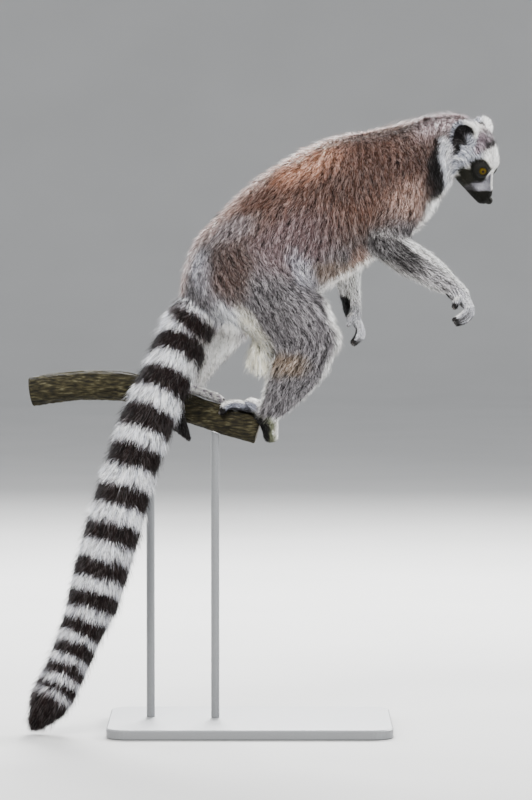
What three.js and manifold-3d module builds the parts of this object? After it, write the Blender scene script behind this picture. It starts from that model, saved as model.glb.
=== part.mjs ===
// A still, life-size ring-tailed lemur gripping the cut end of a branch with its
// feet, leaning forward with its arms held out, on a plain display stand.
// Millimetres, +Z up. The lemur faces +X and its right side faces -Y.
// The origin is the middle of the underside of the stand's base.
//
// Flesh is built as solids out to the tips of the coat: lofts through elliptical
// sections for trunk, limbs and tail, and ellipsoids for the head. Each solid is
// then cut clear of its neighbours and parted into the lengths a person would name.

import * as THREE from 'three';
import { mergeVertices } from 'three/addons/utils/BufferGeometryUtils.js';
import Module from 'manifold-3d';

const wasm = await Module();
wasm.setup();

// ---------------------------------------------------------------- driving sizes

const GAP = 0.3;              // clearance between neighbouring solids
const RIGHT = -1;             // the lemur's right side, towards -Y
const LEFT = 1;

const TRUNK_SIDES = 20;
const LIMB_SIDES = 12;
const TAIL_SIDES = 12;
const PALM_SIDES = 8;
const DIGIT_SIDES = 6;
const END_RINGS = [0.7];      // rise of the rings that round off a loft's end
const TAIL_END_RINGS = [0.5, 0.85];

const BASE_LENGTH = 340;
const BASE_WIDTH = 230;
const BASE_THICKNESS = 12;
const BASE_CORNER = 24;
const BASE_BEVEL = 1.5;
const ROD_RADIUS = 5;
const ROD_X = [-120, -42];

// Sections of the trunk from rump to nape: x, z, half depth, half width, and the
// lean of the section's top towards the head, in degrees.
const TRUNK = [
  [-55, 507, 33, 30, -58],
  [-37, 522, 53, 47, -53],
  [-11, 543, 71, 59, -47],
  [19, 568, 76, 63, -42],
  [48, 594, 78, 64, -32],
  [79, 614, 80, 65, -22],
  [114, 632, 80, 65, -13],
  [146, 644, 75, 61, -5],
  [180, 659, 68, 56, -2],
  [203, 670, 64, 51, 0],
  [223, 685, 54, 45, 3],
  [238, 694, 46, 40, 8],
  [252, 698, 39, 36, 14],
  [266, 698, 31, 30, 20],
];
const TRUNK_PARTS = [
  { name: 'rump', until: [2, 555], lean: -46 },
  { name: 'loin', until: [84, 616], lean: -22 },
  { name: 'chest', until: [208, 673], lean: 0 },
  { name: 'neck' },
];

// Limbs: x, y, z, half depth, half width of each section.
const RIGHT_THIGH = [
  [-14, -30, 552, 56, 40],
  [14, -46, 526, 51, 36],
  [40, -58, 502, 46, 33],
  [65, -66, 485, 42, 29],
  [82, -70, 470, 27, 23],
];
const RIGHT_SHANK = [
  [84, -70, 472, 24, 21],
  [64.5, -66, 453, 34.5, 26],
  [48.5, -50, 425, 29.5, 24],
  [34, -33, 400, 21, 19],
  [20, -18, 379, 13, 13],
];
const GROIN_FRINGE = [            // the long hair that hangs behind the right thigh
  [20, -48, 490, 17, 14],
  [16, -48, 466, 18, 13],
  [13, -48, 446, 14, 10],
  [12, -48, 431, 7, 6],
];
const LEFT_THIGH = [
  [-16, 30, 556, 52, 42],
  [-22, 62, 534, 46, 38],
  [-25, 98, 505, 36, 33],
  [-26, 132, 478, 23, 24],
];
const LEFT_SHANK = [
  [-26, 134, 478, 21, 21],
  [-42, 112, 461, 24, 24],
  [-57, 80, 440, 19, 19],
  [-70, 32, 411, 12, 12],
];
const RIGHT_ARM = [
  [184, -32, 660, 31, 26],
  [172, -46, 618, 28, 24],
  [163, -57, 586, 22, 20],
];
const RIGHT_FOREARM = [
  [162, -57, 586, 21, 19],
  [186, -61, 568, 21.5, 17],
  [212, -64, 552.5, 19, 15],
  [225, -64, 543, 16.5, 13],
  [237, -64, 535, 12.8, 12],
  [248, -64, 525.5, 10.3, 11],
];
const LEFT_ARM = [
  [184, 32, 660, 31, 26],
  [149, 46, 628, 26, 23],
  [119, 56, 598, 22, 20],
];
const LEFT_FOREARM = [
  [119, 56, 599, 21, 19],
  [118, 55, 564, 18, 16],
  [119, 53, 534, 15, 14],
  [124, 50, 500, 10, 11],
];

const TAIL = [
  [-50, 0, 520, 26],
  [-69, -9, 492, 31],
  [-80, -23, 467, 32.5],
  [-91, -37, 442, 32],
  [-108, -49, 406, 31.5],
  [-122, -54, 372, 32],
  [-132, -55, 346, 31.5],
  [-143, -55, 312, 31.5],
  [-154, -56, 276, 32.5],
  [-164, -56, 240, 33],
  [-175, -57, 202, 32.5],
  [-187, -57, 158, 30.5],
  [-197, -58, 132, 27],
  [-209, -58, 102, 25],
  [-220, -59, 76, 25],
  [-232, -59, 52, 25.5],
  [-241, -60, 36, 23],
  [-250, -60, 21, 14],
];
const TAIL_CUTS = [3, 5, 8, 10, 12, 14];   // sections at which the tail is parted

const BRANCH = [
  [-264, 26, 404, 19],
  [-228, 23, 410, 19.5],
  [-180, 20, 413, 19.5],
  [-138, 16, 409, 19.5],
  [-102, 13, 397, 19],
  [-66, 9, 383, 18.5],
  [-30, 5, 371, 18],
  [10, 2, 359, 17.5],
];

// The head has a frame of its own: x towards the nose from its tip, y to the
// left, z to the crown. It points down and forward, is rolled to the right and
// turned a little to the right.
const NOSE = [292, -6, 635];
const SNOUT_DROP = 64;
const HEAD_ROLL = 18;
const HEAD_TURN = 5;

const CRANIUM = { at: [-66, 0, 2], size: [38, 35, 31] };
const RUFF = { at: [-66, 19, -12], size: [22, 20, 24] };
const BROW = { at: [-44.5, 10, 15.5], size: [12.5, 12, 10] };
const CHEEK = { at: [-42, 13, -10], size: [17, 12, 16] };
const MUZZLE = [                 // x, z, half height, half width
  [-48, -4, 27, 22],
  [-36, -7, 22.5, 18],
  [-24, -8, 17.5, 14.5],
  [-14, -8.5, 13.5, 12],
  [-7.5, -8, 10.5, 10],
  [-3.5, -6, 6, 6.5],
];
const EYE = { at: [-40, 16, 8], radius: 9 };
const EAR_BASE = [-70, 27, 6];
const EAR_TIP = [-99.5, 44, 20];
const EAR_FACING = [0.42, 0.78, -0.05];
const EAR_WIDTH = 16.5;
const EAR_DEPTH = 9;
const EAR_HOLLOW = 4.5;          // how far the hollow of the ear is set outwards

const COLOURS = {
  grey: 0x9a9390,
  brown: 0x8d6a5a,
  white: 0xe6e2de,
  black: 0x1c1918,
  charcoal: 0x3b3634,
  iris: 0xb5711c,
  bark: 0x5a4a35,
  paint: 0x6d6f70,
};

// ------------------------------------------------------------- solids and joins

function vector([x, y, z]) {
  return new THREE.Vector3(x, y, z);
}

/** A closed, merged geometry as a manifold solid, facing outwards. */
function solid(geometry) {
  geometry.deleteAttribute('normal');
  geometry.deleteAttribute('uv');
  const merged = mergeVertices(geometry, 1e-4);
  const build = (triVerts) => new wasm.Manifold(new wasm.Mesh({
    numProp: 3,
    vertProperties: new Float32Array(merged.attributes.position.array),
    triVerts,
  }));
  const triangles = new Uint32Array(merged.index.array);
  const result = build(triangles);
  return result.volume() > 0 ? result : build(triangles.reverse());
}

/** The largest connected body of a solid, so that no sliver stays. */
function largest(body) {
  return body.decompose().reduce((a, b) => (b.volume() > a.volume() ? b : a));
}

function union(bodies) {
  return bodies.reduce((a, b) => a.add(b));
}

function without(body, ...others) {
  return others.reduce((a, b) => a.subtract(b), body);
}

/** A large block whose flat face passes through point, on the side of normal. */
function halfSpace(point, normal) {
  const size = 900;
  const geometry = new THREE.BoxGeometry(size, size, size);
  geometry.translate(0, 0, size / 2);
  const turn = new THREE.Quaternion().setFromUnitVectors(new THREE.Vector3(0, 0, 1), normal);
  geometry.applyQuaternion(turn);
  geometry.translate(point.x, point.y, point.z);
  return solid(geometry);
}

/** Parts a body by a thin plane cut: the piece behind it and the piece ahead. */
function sever(body, point, normal) {
  const unit = normal.clone().normalize();
  const behind = point.clone().addScaledVector(unit, -GAP / 2);
  const ahead = point.clone().addScaledVector(unit, GAP / 2);
  return [
    largest(body.intersect(halfSpace(behind, unit.clone().negate()))),
    largest(body.intersect(halfSpace(ahead, unit))),
  ];
}

function ellipsoid({ at, size }, grow, columns, rows) {
  const geometry = new THREE.SphereGeometry(1, columns, rows);
  geometry.scale(size[0] + grow, size[1] + grow, size[2] + grow);
  geometry.translate(...at);
  return solid(geometry);
}

// ------------------------------------------------------------------------ lofts

/**
 * A closed loft through rings. Each ring has a centre, an up and a side vector and
 * the half sizes along them, and ends are rings that shrink, or flat with none.
 */
function loft(rings, sides, ends = END_RINGS) {
  const first = rings[0];
  const last = rings[rings.length - 1];
  const all = [
    ...roundedEnd(first, -1, ends).reverse(),
    ...rings,
    ...roundedEnd(last, 1, ends),
  ];
  const positions = [];
  for (const ring of all) {
    for (let s = 0; s < sides; s += 1) {
      const angle = (2 * Math.PI * s) / sides;
      const point = ring.centre.clone()
        .addScaledVector(ring.up, ring.depth * Math.cos(angle))
        .addScaledVector(ring.side, ring.width * Math.sin(angle));
      positions.push(point.x, point.y, point.z);
    }
  }
  const indices = [];
  for (let r = 0; r < all.length - 1; r += 1) {
    for (let s = 0; s < sides; s += 1) {
      const a = r * sides + s;
      const b = r * sides + ((s + 1) % sides);
      indices.push(a, a + sides, b + sides, a, b + sides, b);
    }
  }
  const cap = (ring, flip) => {
    const middle = positions.length / 3;
    const centre = all[ring].centre;
    positions.push(centre.x, centre.y, centre.z);
    for (let s = 0; s < sides; s += 1) {
      const a = ring * sides + s;
      const b = ring * sides + ((s + 1) % sides);
      indices.push(...(flip ? [middle, b, a] : [middle, a, b]));
    }
  };
  cap(0, false);
  cap(all.length - 1, true);
  const geometry = new THREE.BufferGeometry();
  geometry.setAttribute('position', new THREE.Float32BufferAttribute(positions, 3));
  geometry.setIndex(indices);
  return solid(geometry);
}

/** Rings that round off an end of a loft, from the end outwards. */
function roundedEnd(ring, direction, rises) {
  const along = new THREE.Vector3().crossVectors(ring.up, ring.side).normalize();
  const reach = Math.min(ring.depth, ring.width);
  return rises.map((rise) => {
    const shrink = Math.sqrt(1 - rise * rise);
    return {
      centre: ring.centre.clone().addScaledVector(along, direction * rise * reach),
      up: ring.up,
      side: ring.side,
      depth: ring.depth * shrink,
      width: ring.width * shrink,
    };
  });
}

/** Rings along a path of rows [x, y, z, depth, width], square to the path. */
function ringsAlong(rows, grow, reference = new THREE.Vector3(0, 1, 0)) {
  return rows.map(([x, y, z, depth, width], n) => {
    const before = rows[Math.max(n - 1, 0)];
    const after = rows[Math.min(n + 1, rows.length - 1)];
    const along = vector(after).sub(vector(before)).normalize();
    const up = new THREE.Vector3().crossVectors(reference, along).normalize();
    const side = new THREE.Vector3().crossVectors(along, up);
    const centre = new THREE.Vector3(x, y, z);
    return { centre, up, side, depth: depth + grow, width: width + grow };
  });
}

function limb(rows, { grow = 0, sides = LIMB_SIDES, ends, reference } = {}) {
  return loft(ringsAlong(rows, grow, reference), sides, ends);
}

// ------------------------------------------------------------------------ trunk

function trunkUp(lean) {
  const angle = THREE.MathUtils.degToRad(lean);
  return new THREE.Vector3(Math.sin(angle), 0, Math.cos(angle));
}

function trunk(grow = 0) {
  const side = new THREE.Vector3(0, 1, 0);
  const rings = TRUNK.map(([x, z, depth, width, lean]) => ({
    centre: new THREE.Vector3(x, 0, z),
    up: trunkUp(lean).negate(),
    side,
    depth: depth + grow,
    width: width + grow,
  }));
  return loft(rings, TRUNK_SIDES);
}

/** The trunk's lengths from rump to neck, parted by planes across the spine. */
function trunkParts(body) {
  const parts = {};
  let rest = body;
  for (const { name, until, lean } of TRUNK_PARTS) {
    if (until === undefined) {
      parts[name] = rest;
    } else {
      const up = trunkUp(lean);
      const across = new THREE.Vector3(up.z, 0, -up.x);
      [parts[name], rest] = sever(rest, new THREE.Vector3(until[0], 0, until[1]), across);
    }
  }
  return parts;
}

// ------------------------------------------------------------------------- head

/** The head's own frame in the world: snout axis, left axis and crown axis. */
function headMatrix() {
  const drop = THREE.MathUtils.degToRad(SNOUT_DROP);
  const roll = THREE.MathUtils.degToRad(HEAD_ROLL);
  const turn = THREE.MathUtils.degToRad(HEAD_TURN);
  const ahead = new THREE.Vector3(Math.cos(drop), 0, -Math.sin(drop));
  const level = new THREE.Vector3(0, 1, 0);
  const upright = new THREE.Vector3().crossVectors(ahead, level);
  const snout = ahead.applyAxisAngle(upright, -turn);
  const aside = level.applyAxisAngle(upright, -turn);
  const crown = upright.clone().multiplyScalar(Math.cos(roll))
    .addScaledVector(aside, -Math.sin(roll));
  const left = new THREE.Vector3().crossVectors(crown, snout);
  return new THREE.Matrix4().makeBasis(snout, left, crown).setPosition(...NOSE);
}

function placeHead(body) {
  return body.transform(headMatrix().elements.slice());
}

function mirrored(side, [x, y, z]) {
  return [x, side * y, z];
}

function muzzle(grow) {
  const rows = MUZZLE.map(([x, z, height, width]) => [x, 0, z, height, width]);
  return limb(rows, { grow });
}

/** The head without its ears and eyes, in its own frame. */
function headBlock(grow = 0) {
  const bodies = [ellipsoid(CRANIUM, grow, 14, 9), muzzle(grow)];
  for (const side of [RIGHT, LEFT]) {
    for (const lump of [RUFF, BROW, CHEEK]) {
      bodies.push(ellipsoid({ at: mirrored(side, lump.at), size: lump.size }, grow, 9, 6));
    }
  }
  return union(bodies);
}

function eyeball(side, grow = 0) {
  const size = Array(3).fill(EYE.radius);
  return ellipsoid({ at: mirrored(side, EYE.at), size }, grow, 10, 7);
}

/** A cupped ear: an upright shell with its hollow set towards the facing side. */
function ear(side) {
  const base = new THREE.Vector3(...mirrored(side, EAR_BASE));
  const tip = new THREE.Vector3(...mirrored(side, EAR_TIP));
  const up = tip.clone().sub(base);
  const reach = up.length() / 2;
  up.normalize();
  const facing = new THREE.Vector3(...mirrored(side, EAR_FACING));
  facing.addScaledVector(up, -facing.dot(up)).normalize();
  const across = new THREE.Vector3().crossVectors(facing, up);
  const place = (size, offset) => {
    const geometry = new THREE.SphereGeometry(1, 11, 7);
    geometry.scale(size[0], size[1], size[2]);
    geometry.translate(offset, 0, 0);
    const middle = base.clone().lerp(tip, 0.5);
    geometry.applyMatrix4(new THREE.Matrix4().makeBasis(facing, across, up).setPosition(middle));
    return solid(geometry);
  };
  const outer = place([EAR_DEPTH, EAR_WIDTH, reach], 0);
  const hollow = place([EAR_DEPTH, EAR_WIDTH - 2, reach - 2], EAR_HOLLOW);
  return outer.subtract(hollow);
}

// -------------------------------------------------------------- hands and feet

/** A digit through rows [x, y, z, radius]. */
function digit(rows) {
  const path = rows.map(([x, y, z, radius]) => [x, y, z, radius, radius]);
  return limb(path, { sides: DIGIT_SIDES });
}

function rightHand() {
  const bodies = [limb([
    [245, -64, 528, 10, 10],
    [252, -64, 520.5, 9, 12],
    [257, -64, 513.5, 7, 13],
  ], { sides: PALM_SIDES })];
  for (const [n, y] of [-75, -68, -60, -53].entries()) {
    const tuck = [6, 4, 1.5, -2][n];  // how far each finger is drawn in, so that they fan
    bodies.push(digit([
      [256, y * 0.6 - 25.6, 515, 4.6],
      [261 - tuck * 0.6, y, 509, 4.2],
      [260 - tuck, y, 501 + tuck * 0.3, 3.8],
      [254 - tuck, y, 494.5 + tuck * 0.6, 3.6],
      [246 - tuck * 0.6, y, 491 + tuck * 0.8, 3],
    ]));
  }
  bodies.push(digit([
    [248, -71, 522, 4.5],
    [244.5, -76, 517, 4.3],
    [242.5, -76, 511.5, 3.8],
  ]));
  return union(bodies);
}

function leftHand() {
  const bodies = [limb([
    [123, 50, 504, 9, 10],
    [126, 50, 495, 7.5, 12],
    [130, 50, 485, 6, 12.5],
  ], { sides: PALM_SIDES })];
  for (const [n, y] of [40, 46.5, 53.5, 60].entries()) {
    const tuck = [4, 2.5, 0.5, -1.5][n];  // as on the right hand
    bodies.push(digit([
      [130, y * 0.6 + 20, 487, 4.2],
      [134 - tuck * 0.6, y, 478, 4.2],
      [133 - tuck, y, 469 + tuck * 0.3, 3.8],
      [126 - tuck * 0.5, y, 462 + tuck * 0.6, 3],
    ]));
  }
  bodies.push(digit([
    [125, 43, 499, 4.5],
    [121, 38, 493, 4.2],
    [119, 38, 486, 3.4],
  ]));
  return union(bodies);
}

/** Centre and radius of the branch where it passes a given x. */
function branchAt(x) {
  const next = BRANCH.findIndex((row) => row[0] >= x);
  const ahead = BRANCH.at(next < 1 ? -1 : next);
  const behind = BRANCH.at(next < 1 ? -2 : next - 1);
  const share = (x - behind[0]) / (ahead[0] - behind[0]);
  const [, y, z, radius] = behind.map((value, n) => value + share * (ahead[n] - value));
  return { y, z, radius };
}

/** A toe laid round the branch: pairs of x and angle, 0 on top, 90 on the left side. */
function wrappedToe(stops, radii, lifts) {
  return digit(stops.map(([x, degrees], n) => {
    const { y, z, radius } = branchAt(x);
    const angle = THREE.MathUtils.degToRad(degrees);
    const reach = radius + radii[n] + lifts[n] + 1;
    return [x, y + reach * Math.sin(angle), z + reach * Math.cos(angle), radii[n]];
  }));
}

/** The right foot: its heel past the branch's end, great toe along the top. */
function rightFoot() {
  const bodies = [limb([
    [25, -14, 354, 9, 10],
    [23, -14, 368, 11, 12],
    [14, -9, 384, 11, 13],
    [4, -1, 390, 8, 15],
  ], { sides: PALM_SIDES })];
  for (const [n, x] of [6, -1, -8, -15].entries()) {
    const spread = n * 2;
    bodies.push(wrappedToe(
      [[x * 0.6, 14], [x, 52], [x - 1, 88], [x - 2, 118 + spread]],
      [5, 4.4, 4.1, 3.2],
      [1, 0, 0, 0],
    ));
  }
  bodies.push(wrappedToe(
    [[8, -8], [-6, -14], [-19, -22], [-29, -40], [-33, -62]],
    [6.5, 6.2, 6, 5.4, 4.2],
    [1, 0.6, 0, 0, 0],
  ));
  return union(bodies);
}

/** The left foot: great toe along the top, the other toes down the right side. */
function leftFoot() {
  const bodies = [limb([
    [-78, 40, 396, 9, 9],
    [-74, 31, 405, 10, 11],
    [-74, 20, 411, 9, 13],
    [-77, 8, 411, 7, 14],
  ], { sides: PALM_SIDES })];
  for (const [n, x] of [-86, -91, -96, -101].entries()) {
    bodies.push(wrappedToe(
      [[x * 0.6 - 28, -8], [x + 2, -50], [x, -90], [x + 6, -126], [x + 12, -152]],
      [5, 4.4, 4.2, 4, 3.2],
      [1, 0, 0, 7, 17 - 2 * n],
    ));
  }
  bodies.push(wrappedToe(
    [[-66, 10], [-56, 12], [-48, 12], [-41, 12], [-36, 13]],
    [5.2, 5.4, 5.3, 5.6, 4.6],
    [0.2, 0, 0, 0, 0],
  ));
  return union(bodies);
}

// ------------------------------------------------------- tail, perch and stand

function tail() {
  const rows = TAIL.map(([x, y, z, radius]) => [x, y, z, radius, radius]);
  return limb(rows, { sides: TAIL_SIDES, ends: TAIL_END_RINGS });
}

function tailParts(body) {
  const parts = {};
  let rest = body;
  TAIL_CUTS.forEach((row, n) => {
    const [x, y, z] = TAIL[row];
    const [x1, y1, z1] = TAIL[row + 1];
    const along = new THREE.Vector3(x1 - x, y1 - y, z1 - z);
    [parts[`tail_${n + 1}`], rest] = sever(rest, new THREE.Vector3(x, y, z), along);
  });
  parts[`tail_${TAIL_CUTS.length + 1}`] = rest;
  return parts;
}

function branch(grow = 0) {
  const rows = BRANCH.map(([x, y, z, radius]) => [x, y, z, radius, radius]);
  return limb(rows, { grow, ends: [] });
}

function base() {
  const outline = new THREE.Shape();
  const x = BASE_LENGTH / 2 - BASE_BEVEL;
  const y = BASE_WIDTH / 2 - BASE_BEVEL;
  const r = BASE_CORNER;
  outline.moveTo(-x + r, -y);
  outline.lineTo(x - r, -y);
  outline.absarc(x - r, -y + r, r, -Math.PI / 2, 0);
  outline.lineTo(x, y - r);
  outline.absarc(x - r, y - r, r, 0, Math.PI / 2);
  outline.lineTo(-x + r, y);
  outline.absarc(-x + r, y - r, r, Math.PI / 2, Math.PI);
  outline.lineTo(-x, -y + r);
  outline.absarc(-x + r, -y + r, r, Math.PI, 1.5 * Math.PI);
  const geometry = new THREE.ExtrudeGeometry(outline, {
    depth: BASE_THICKNESS - 2 * BASE_BEVEL,
    bevelThickness: BASE_BEVEL,
    bevelSize: BASE_BEVEL,
    bevelSegments: 1,
    curveSegments: 4,
  });
  geometry.translate(0, 0, BASE_BEVEL);
  return solid(geometry);
}

/** An upright rod from the base's top up into the branch, which is cut to fit it. */
function rod(x) {
  const { y, z } = branchAt(x);
  const foot = BASE_THICKNESS + GAP;
  const geometry = new THREE.CylinderGeometry(ROD_RADIUS, ROD_RADIUS, z - foot, 16);
  geometry.rotateX(Math.PI / 2);
  geometry.translate(x, y, (z + foot) / 2);
  return solid(geometry);
}

// --------------------------------------------------------------------- assembly

const group = new THREE.Group();

function addMesh(name, body, colour, roughness = 0.9, metalness = 0) {
  const { numProp, vertProperties, triVerts } = body.getMesh();
  const geometry = new THREE.BufferGeometry();
  const positions = new Float32Array((vertProperties.length / numProp) * 3);
  for (let v = 0; v < positions.length / 3; v += 1) {
    positions.set(vertProperties.subarray(v * numProp, v * numProp + 3), v * 3);
  }
  geometry.setAttribute('position', new THREE.BufferAttribute(positions, 3));
  geometry.setIndex(new THREE.BufferAttribute(new Uint32Array(triVerts), 1));
  geometry.computeVertexNormals();
  const material = new THREE.MeshStandardMaterial({ color: colour, roughness, metalness });
  const mesh = new THREE.Mesh(geometry, material);
  mesh.name = name;
  group.add(mesh);
}

/** Parts a leg or arm at its joints, each cut lying where two of its lofts meet. */
function limbParts(upper, lower, end, knee, ankle) {
  const whole = union([upper, lower, end]);
  const [first, rest] = sever(whole, knee.at, knee.along);
  const [second, third] = sever(rest, ankle.at, ankle.along);
  return [first, second, third];
}

/** The cut at a joint: through the middle of it, square to the way it bends. */
function joint(before, at, after) {
  const along = vector(at).sub(vector(before)).normalize()
    .add(vector(after).sub(vector(at)).normalize());
  return { at: vector(at), along };
}

const headKeepOut = placeHead(headBlock(GAP));
const trunkKeepOut = trunk(GAP);
const branchKeepOut = branch(GAP);
const legReference = new THREE.Vector3(0.5, 0.2, 1).normalize();

const head = placeHead(largest(without(
  headBlock(),
  eyeball(RIGHT, GAP),
  eyeball(LEFT, GAP),
)));
addMesh('head', head, COLOURS.white);
for (const [side, letter] of [[RIGHT, 'R'], [LEFT, 'L']]) {
  addMesh(`eye_${letter}`, placeHead(eyeball(side)), COLOURS.iris, 0.2);
  const shell = placeHead(ear(side)).subtract(headKeepOut).subtract(trunkKeepOut);
  addMesh(`ear_${letter}`, largest(shell), COLOURS.white);
}

const body = largest(trunk().subtract(headKeepOut));
const trunkColours = {
  rump: COLOURS.grey, loin: COLOURS.brown, chest: COLOURS.brown, neck: COLOURS.charcoal,
};
for (const [name, piece] of Object.entries(trunkParts(body))) {
  addMesh(name, piece, trunkColours[name]);
}

const limbs = {
  R: {
    thigh: { rows: RIGHT_THIGH, fringe: GROIN_FRINGE },
    shank: { rows: RIGHT_SHANK },
    foot: rightFoot,
    upper_arm: { rows: RIGHT_ARM },
    forearm: { rows: RIGHT_FOREARM },
    hand: rightHand,
  },
  L: {
    thigh: { rows: LEFT_THIGH, reference: legReference },
    shank: { rows: LEFT_SHANK, reference: legReference },
    foot: leftFoot,
    upper_arm: { rows: LEFT_ARM },
    forearm: { rows: LEFT_FOREARM },
    hand: leftHand,
  },
};

function limbLoft({ rows, reference, fringe }, grow = 0) {
  const loft = limb(rows, { grow, reference });
  return fringe ? loft.add(limb(fringe, { grow })) : loft;
}

const thighsKeepOut = [];
for (const [letter, parts] of Object.entries(limbs)) {
  thighsKeepOut.push(limbLoft(parts.thigh, GAP));
  for (const names of [['thigh', 'shank', 'foot'], ['upper_arm', 'forearm', 'hand']]) {
    const [upper, lower, end] = names.map((name) => parts[name]);
    const bend = joint(upper.rows.at(-2), lower.rows[0], lower.rows[1]);
    const wrist = joint(lower.rows.at(-2), lower.rows.at(-1), lower.rows.at(-1));
    const pieces = limbParts(limbLoft(upper), limbLoft(lower), end(), bend, wrist);
    pieces.forEach((piece, n) => {
      const clear = largest(without(piece, trunkKeepOut, branchKeepOut));
      addMesh(`${names[n]}_${letter}`, clear, COLOURS.grey);
    });
  }
}

const freeTail = largest(without(tail(), trunkKeepOut, ...thighsKeepOut));
Object.entries(tailParts(freeTail)).forEach(([name, piece], n) => {
  addMesh(name, piece, n % 2 ? COLOURS.black : COLOURS.white);
});

const rods = ROD_X.map((x) => rod(x));
rods.forEach((piece, n) => {
  addMesh(`stand_rod_${n + 1}`, largest(piece.subtract(branchKeepOut)), COLOURS.paint, 0.5, 0.6);
});
addMesh('perch_branch', branch(), COLOURS.bark);
addMesh('stand_base', base(), COLOURS.paint, 0.5, 0.6);

export default group;
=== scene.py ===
"""Looks of a ring-tailed lemur on a cut branch over a display stand.

One skin is drawn from a distance field built of the same sections as the CAD nodes, drawn in by
the depth of the coat. The coat is mesh tufts rooted on that skin. Lengths are in millimetres
until a mesh is made.
"""

import math

import bpy
import numpy as np
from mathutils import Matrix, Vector, kdtree


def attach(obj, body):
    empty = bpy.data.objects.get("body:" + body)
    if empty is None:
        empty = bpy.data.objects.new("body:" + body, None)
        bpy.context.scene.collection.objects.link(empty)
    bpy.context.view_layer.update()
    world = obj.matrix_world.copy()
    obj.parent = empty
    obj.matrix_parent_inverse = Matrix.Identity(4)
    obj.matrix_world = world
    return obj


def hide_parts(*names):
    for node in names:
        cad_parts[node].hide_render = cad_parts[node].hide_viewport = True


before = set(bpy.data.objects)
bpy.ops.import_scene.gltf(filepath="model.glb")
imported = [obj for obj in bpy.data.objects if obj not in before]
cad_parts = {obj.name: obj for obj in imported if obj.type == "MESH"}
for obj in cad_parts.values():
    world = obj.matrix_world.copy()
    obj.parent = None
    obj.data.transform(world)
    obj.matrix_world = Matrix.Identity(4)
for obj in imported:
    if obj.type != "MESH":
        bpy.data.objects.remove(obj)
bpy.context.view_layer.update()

MM = 0.001
RNG = np.random.default_rng(11)
FAR = 60.0
BESIDE = 26  # how far round a solid its distance is worked out
COAT_REACH = 15  # how far from its surface a solid shapes the coat
EAR_ROOM = 46  # the same for an ear, from its middle: skin, coat and small cells
EAR_COAT_ROOM = 30
EAR_FINE_ROOM = 27
FACE_MIDDLE = (-36, 0, 0)
FACE_ROOM = 62
RIGHT, LEFT = -1, 1

# --- shape tables

TRUNK = [  # x, z, half depth, half width, lean in degrees
    [-55, 507, 33, 30, -58], [-37, 522, 53, 47, -53], [-11, 543, 71, 59, -47],
    [19, 568, 76, 63, -42], [48, 594, 78, 64, -32], [79, 614, 80, 65, -22],
    [114, 632, 80, 65, -13], [146, 644, 75, 61, -5], [180, 659, 68, 56, -2],
    [203, 670, 64, 51, 0], [223, 685, 54, 45, 3], [238, 694, 46, 40, 8],
    [252, 698, 39, 36, 14], [266, 698, 31, 30, 20],
]
LIMBS = {  # x, y, z, half depth, half width
    "thigh_R": [[-14, -30, 552, 56, 40], [14, -46, 526, 51, 36], [40, -58, 502, 46, 33],
                [65, -66, 485, 42, 29], [82, -70, 470, 27, 23]],
    "shank_R": [[84, -70, 472, 24, 21], [64.5, -66, 453, 34.5, 26], [48.5, -50, 425, 29.5, 24],
                [34, -33, 400, 21, 19], [20, -18, 379, 13, 13]],
    "thigh_L": [[-16, 30, 556, 52, 42], [-22, 62, 534, 46, 38], [-25, 98, 505, 36, 33],
                [-26, 132, 478, 23, 24]],
    "shank_L": [[-26, 134, 478, 21, 21], [-42, 112, 461, 24, 24], [-57, 80, 440, 19, 19],
                [-70, 32, 411, 12, 12]],
    "upper_arm_R": [[184, -32, 660, 31, 26], [172, -46, 618, 28, 24], [163, -57, 586, 22, 20]],
    "forearm_R": [[162, -57, 586, 21, 19], [186, -61, 568, 21.5, 17], [212, -64, 552.5, 19, 15],
                  [225, -64, 543, 16.5, 13], [237, -64, 535, 12.8, 12],
                  [248, -64, 525.5, 10.3, 11]],
    "upper_arm_L": [[184, 32, 660, 31, 26], [149, 46, 628, 26, 23], [119, 56, 598, 22, 20]],
    "forearm_L": [[119, 56, 599, 21, 19], [118, 55, 564, 18, 16], [119, 53, 534, 15, 14],
                  [124, 50, 500, 10, 11]],
}
LEFT_LEG_REFERENCE = (0.5, 0.2, 1)  # the way that the sections of the left leg face
GROIN_FRINGE = [  # as in LIMBS
    [20, -48, 490, 17, 14], [16, -48, 466, 18, 13], [13, -48, 446, 14, 10],
]
TAIL = [  # x, y, z, radius
    [-50, 0, 520, 26], [-69, -9, 492, 31], [-80, -23, 467, 32.5], [-91, -37, 442, 32],
    [-108, -49, 406, 31.5], [-122, -54, 372, 32], [-132, -55, 346, 31.5],
    [-143, -55, 312, 31.5], [-154, -56, 276, 32.5], [-164, -56, 240, 33],
    [-175, -57, 202, 32.5], [-187, -57, 158, 30.5], [-197, -58, 132, 27],
    [-209, -58, 102, 25], [-220, -59, 76, 25], [-232, -59, 52, 25.5], [-241, -60, 36, 23],
    [-250, -60, 21, 14],
]
BRANCH = [  # x, y, z, radius
    [-264, 26, 404, 19], [-228, 23, 410, 19.5], [-180, 20, 413, 19.5], [-138, 16, 409, 19.5],
    [-102, 13, 397, 19], [-66, 9, 383, 18.5], [-30, 5, 371, 18], [10, 2, 359, 17.5],
]
NOSE = (292, -6, 635)  # origin of the head's own axes: snout, left, crown
SNOUT_DROP = 64  # degrees, as are the next two
HEAD_ROLL = 18
HEAD_TURN = 5
HEAD_BALLS = [  # name, place, size, coat depth, blend; all but the first on both sides
    ("cranium", (-66, 0, 2), (38, 35, 31), 4.0, 0),
    ("ruff", (-66, 19, -12), (22, 20, 24), 5.0, 10),
    ("cheek", (-42, 13, -10), (17, 12, 16), 2.2, 7),
    ("brow", (-44.5, 10, 15.5), (12.5, 12, 10), 2.0, 6),
]
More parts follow.
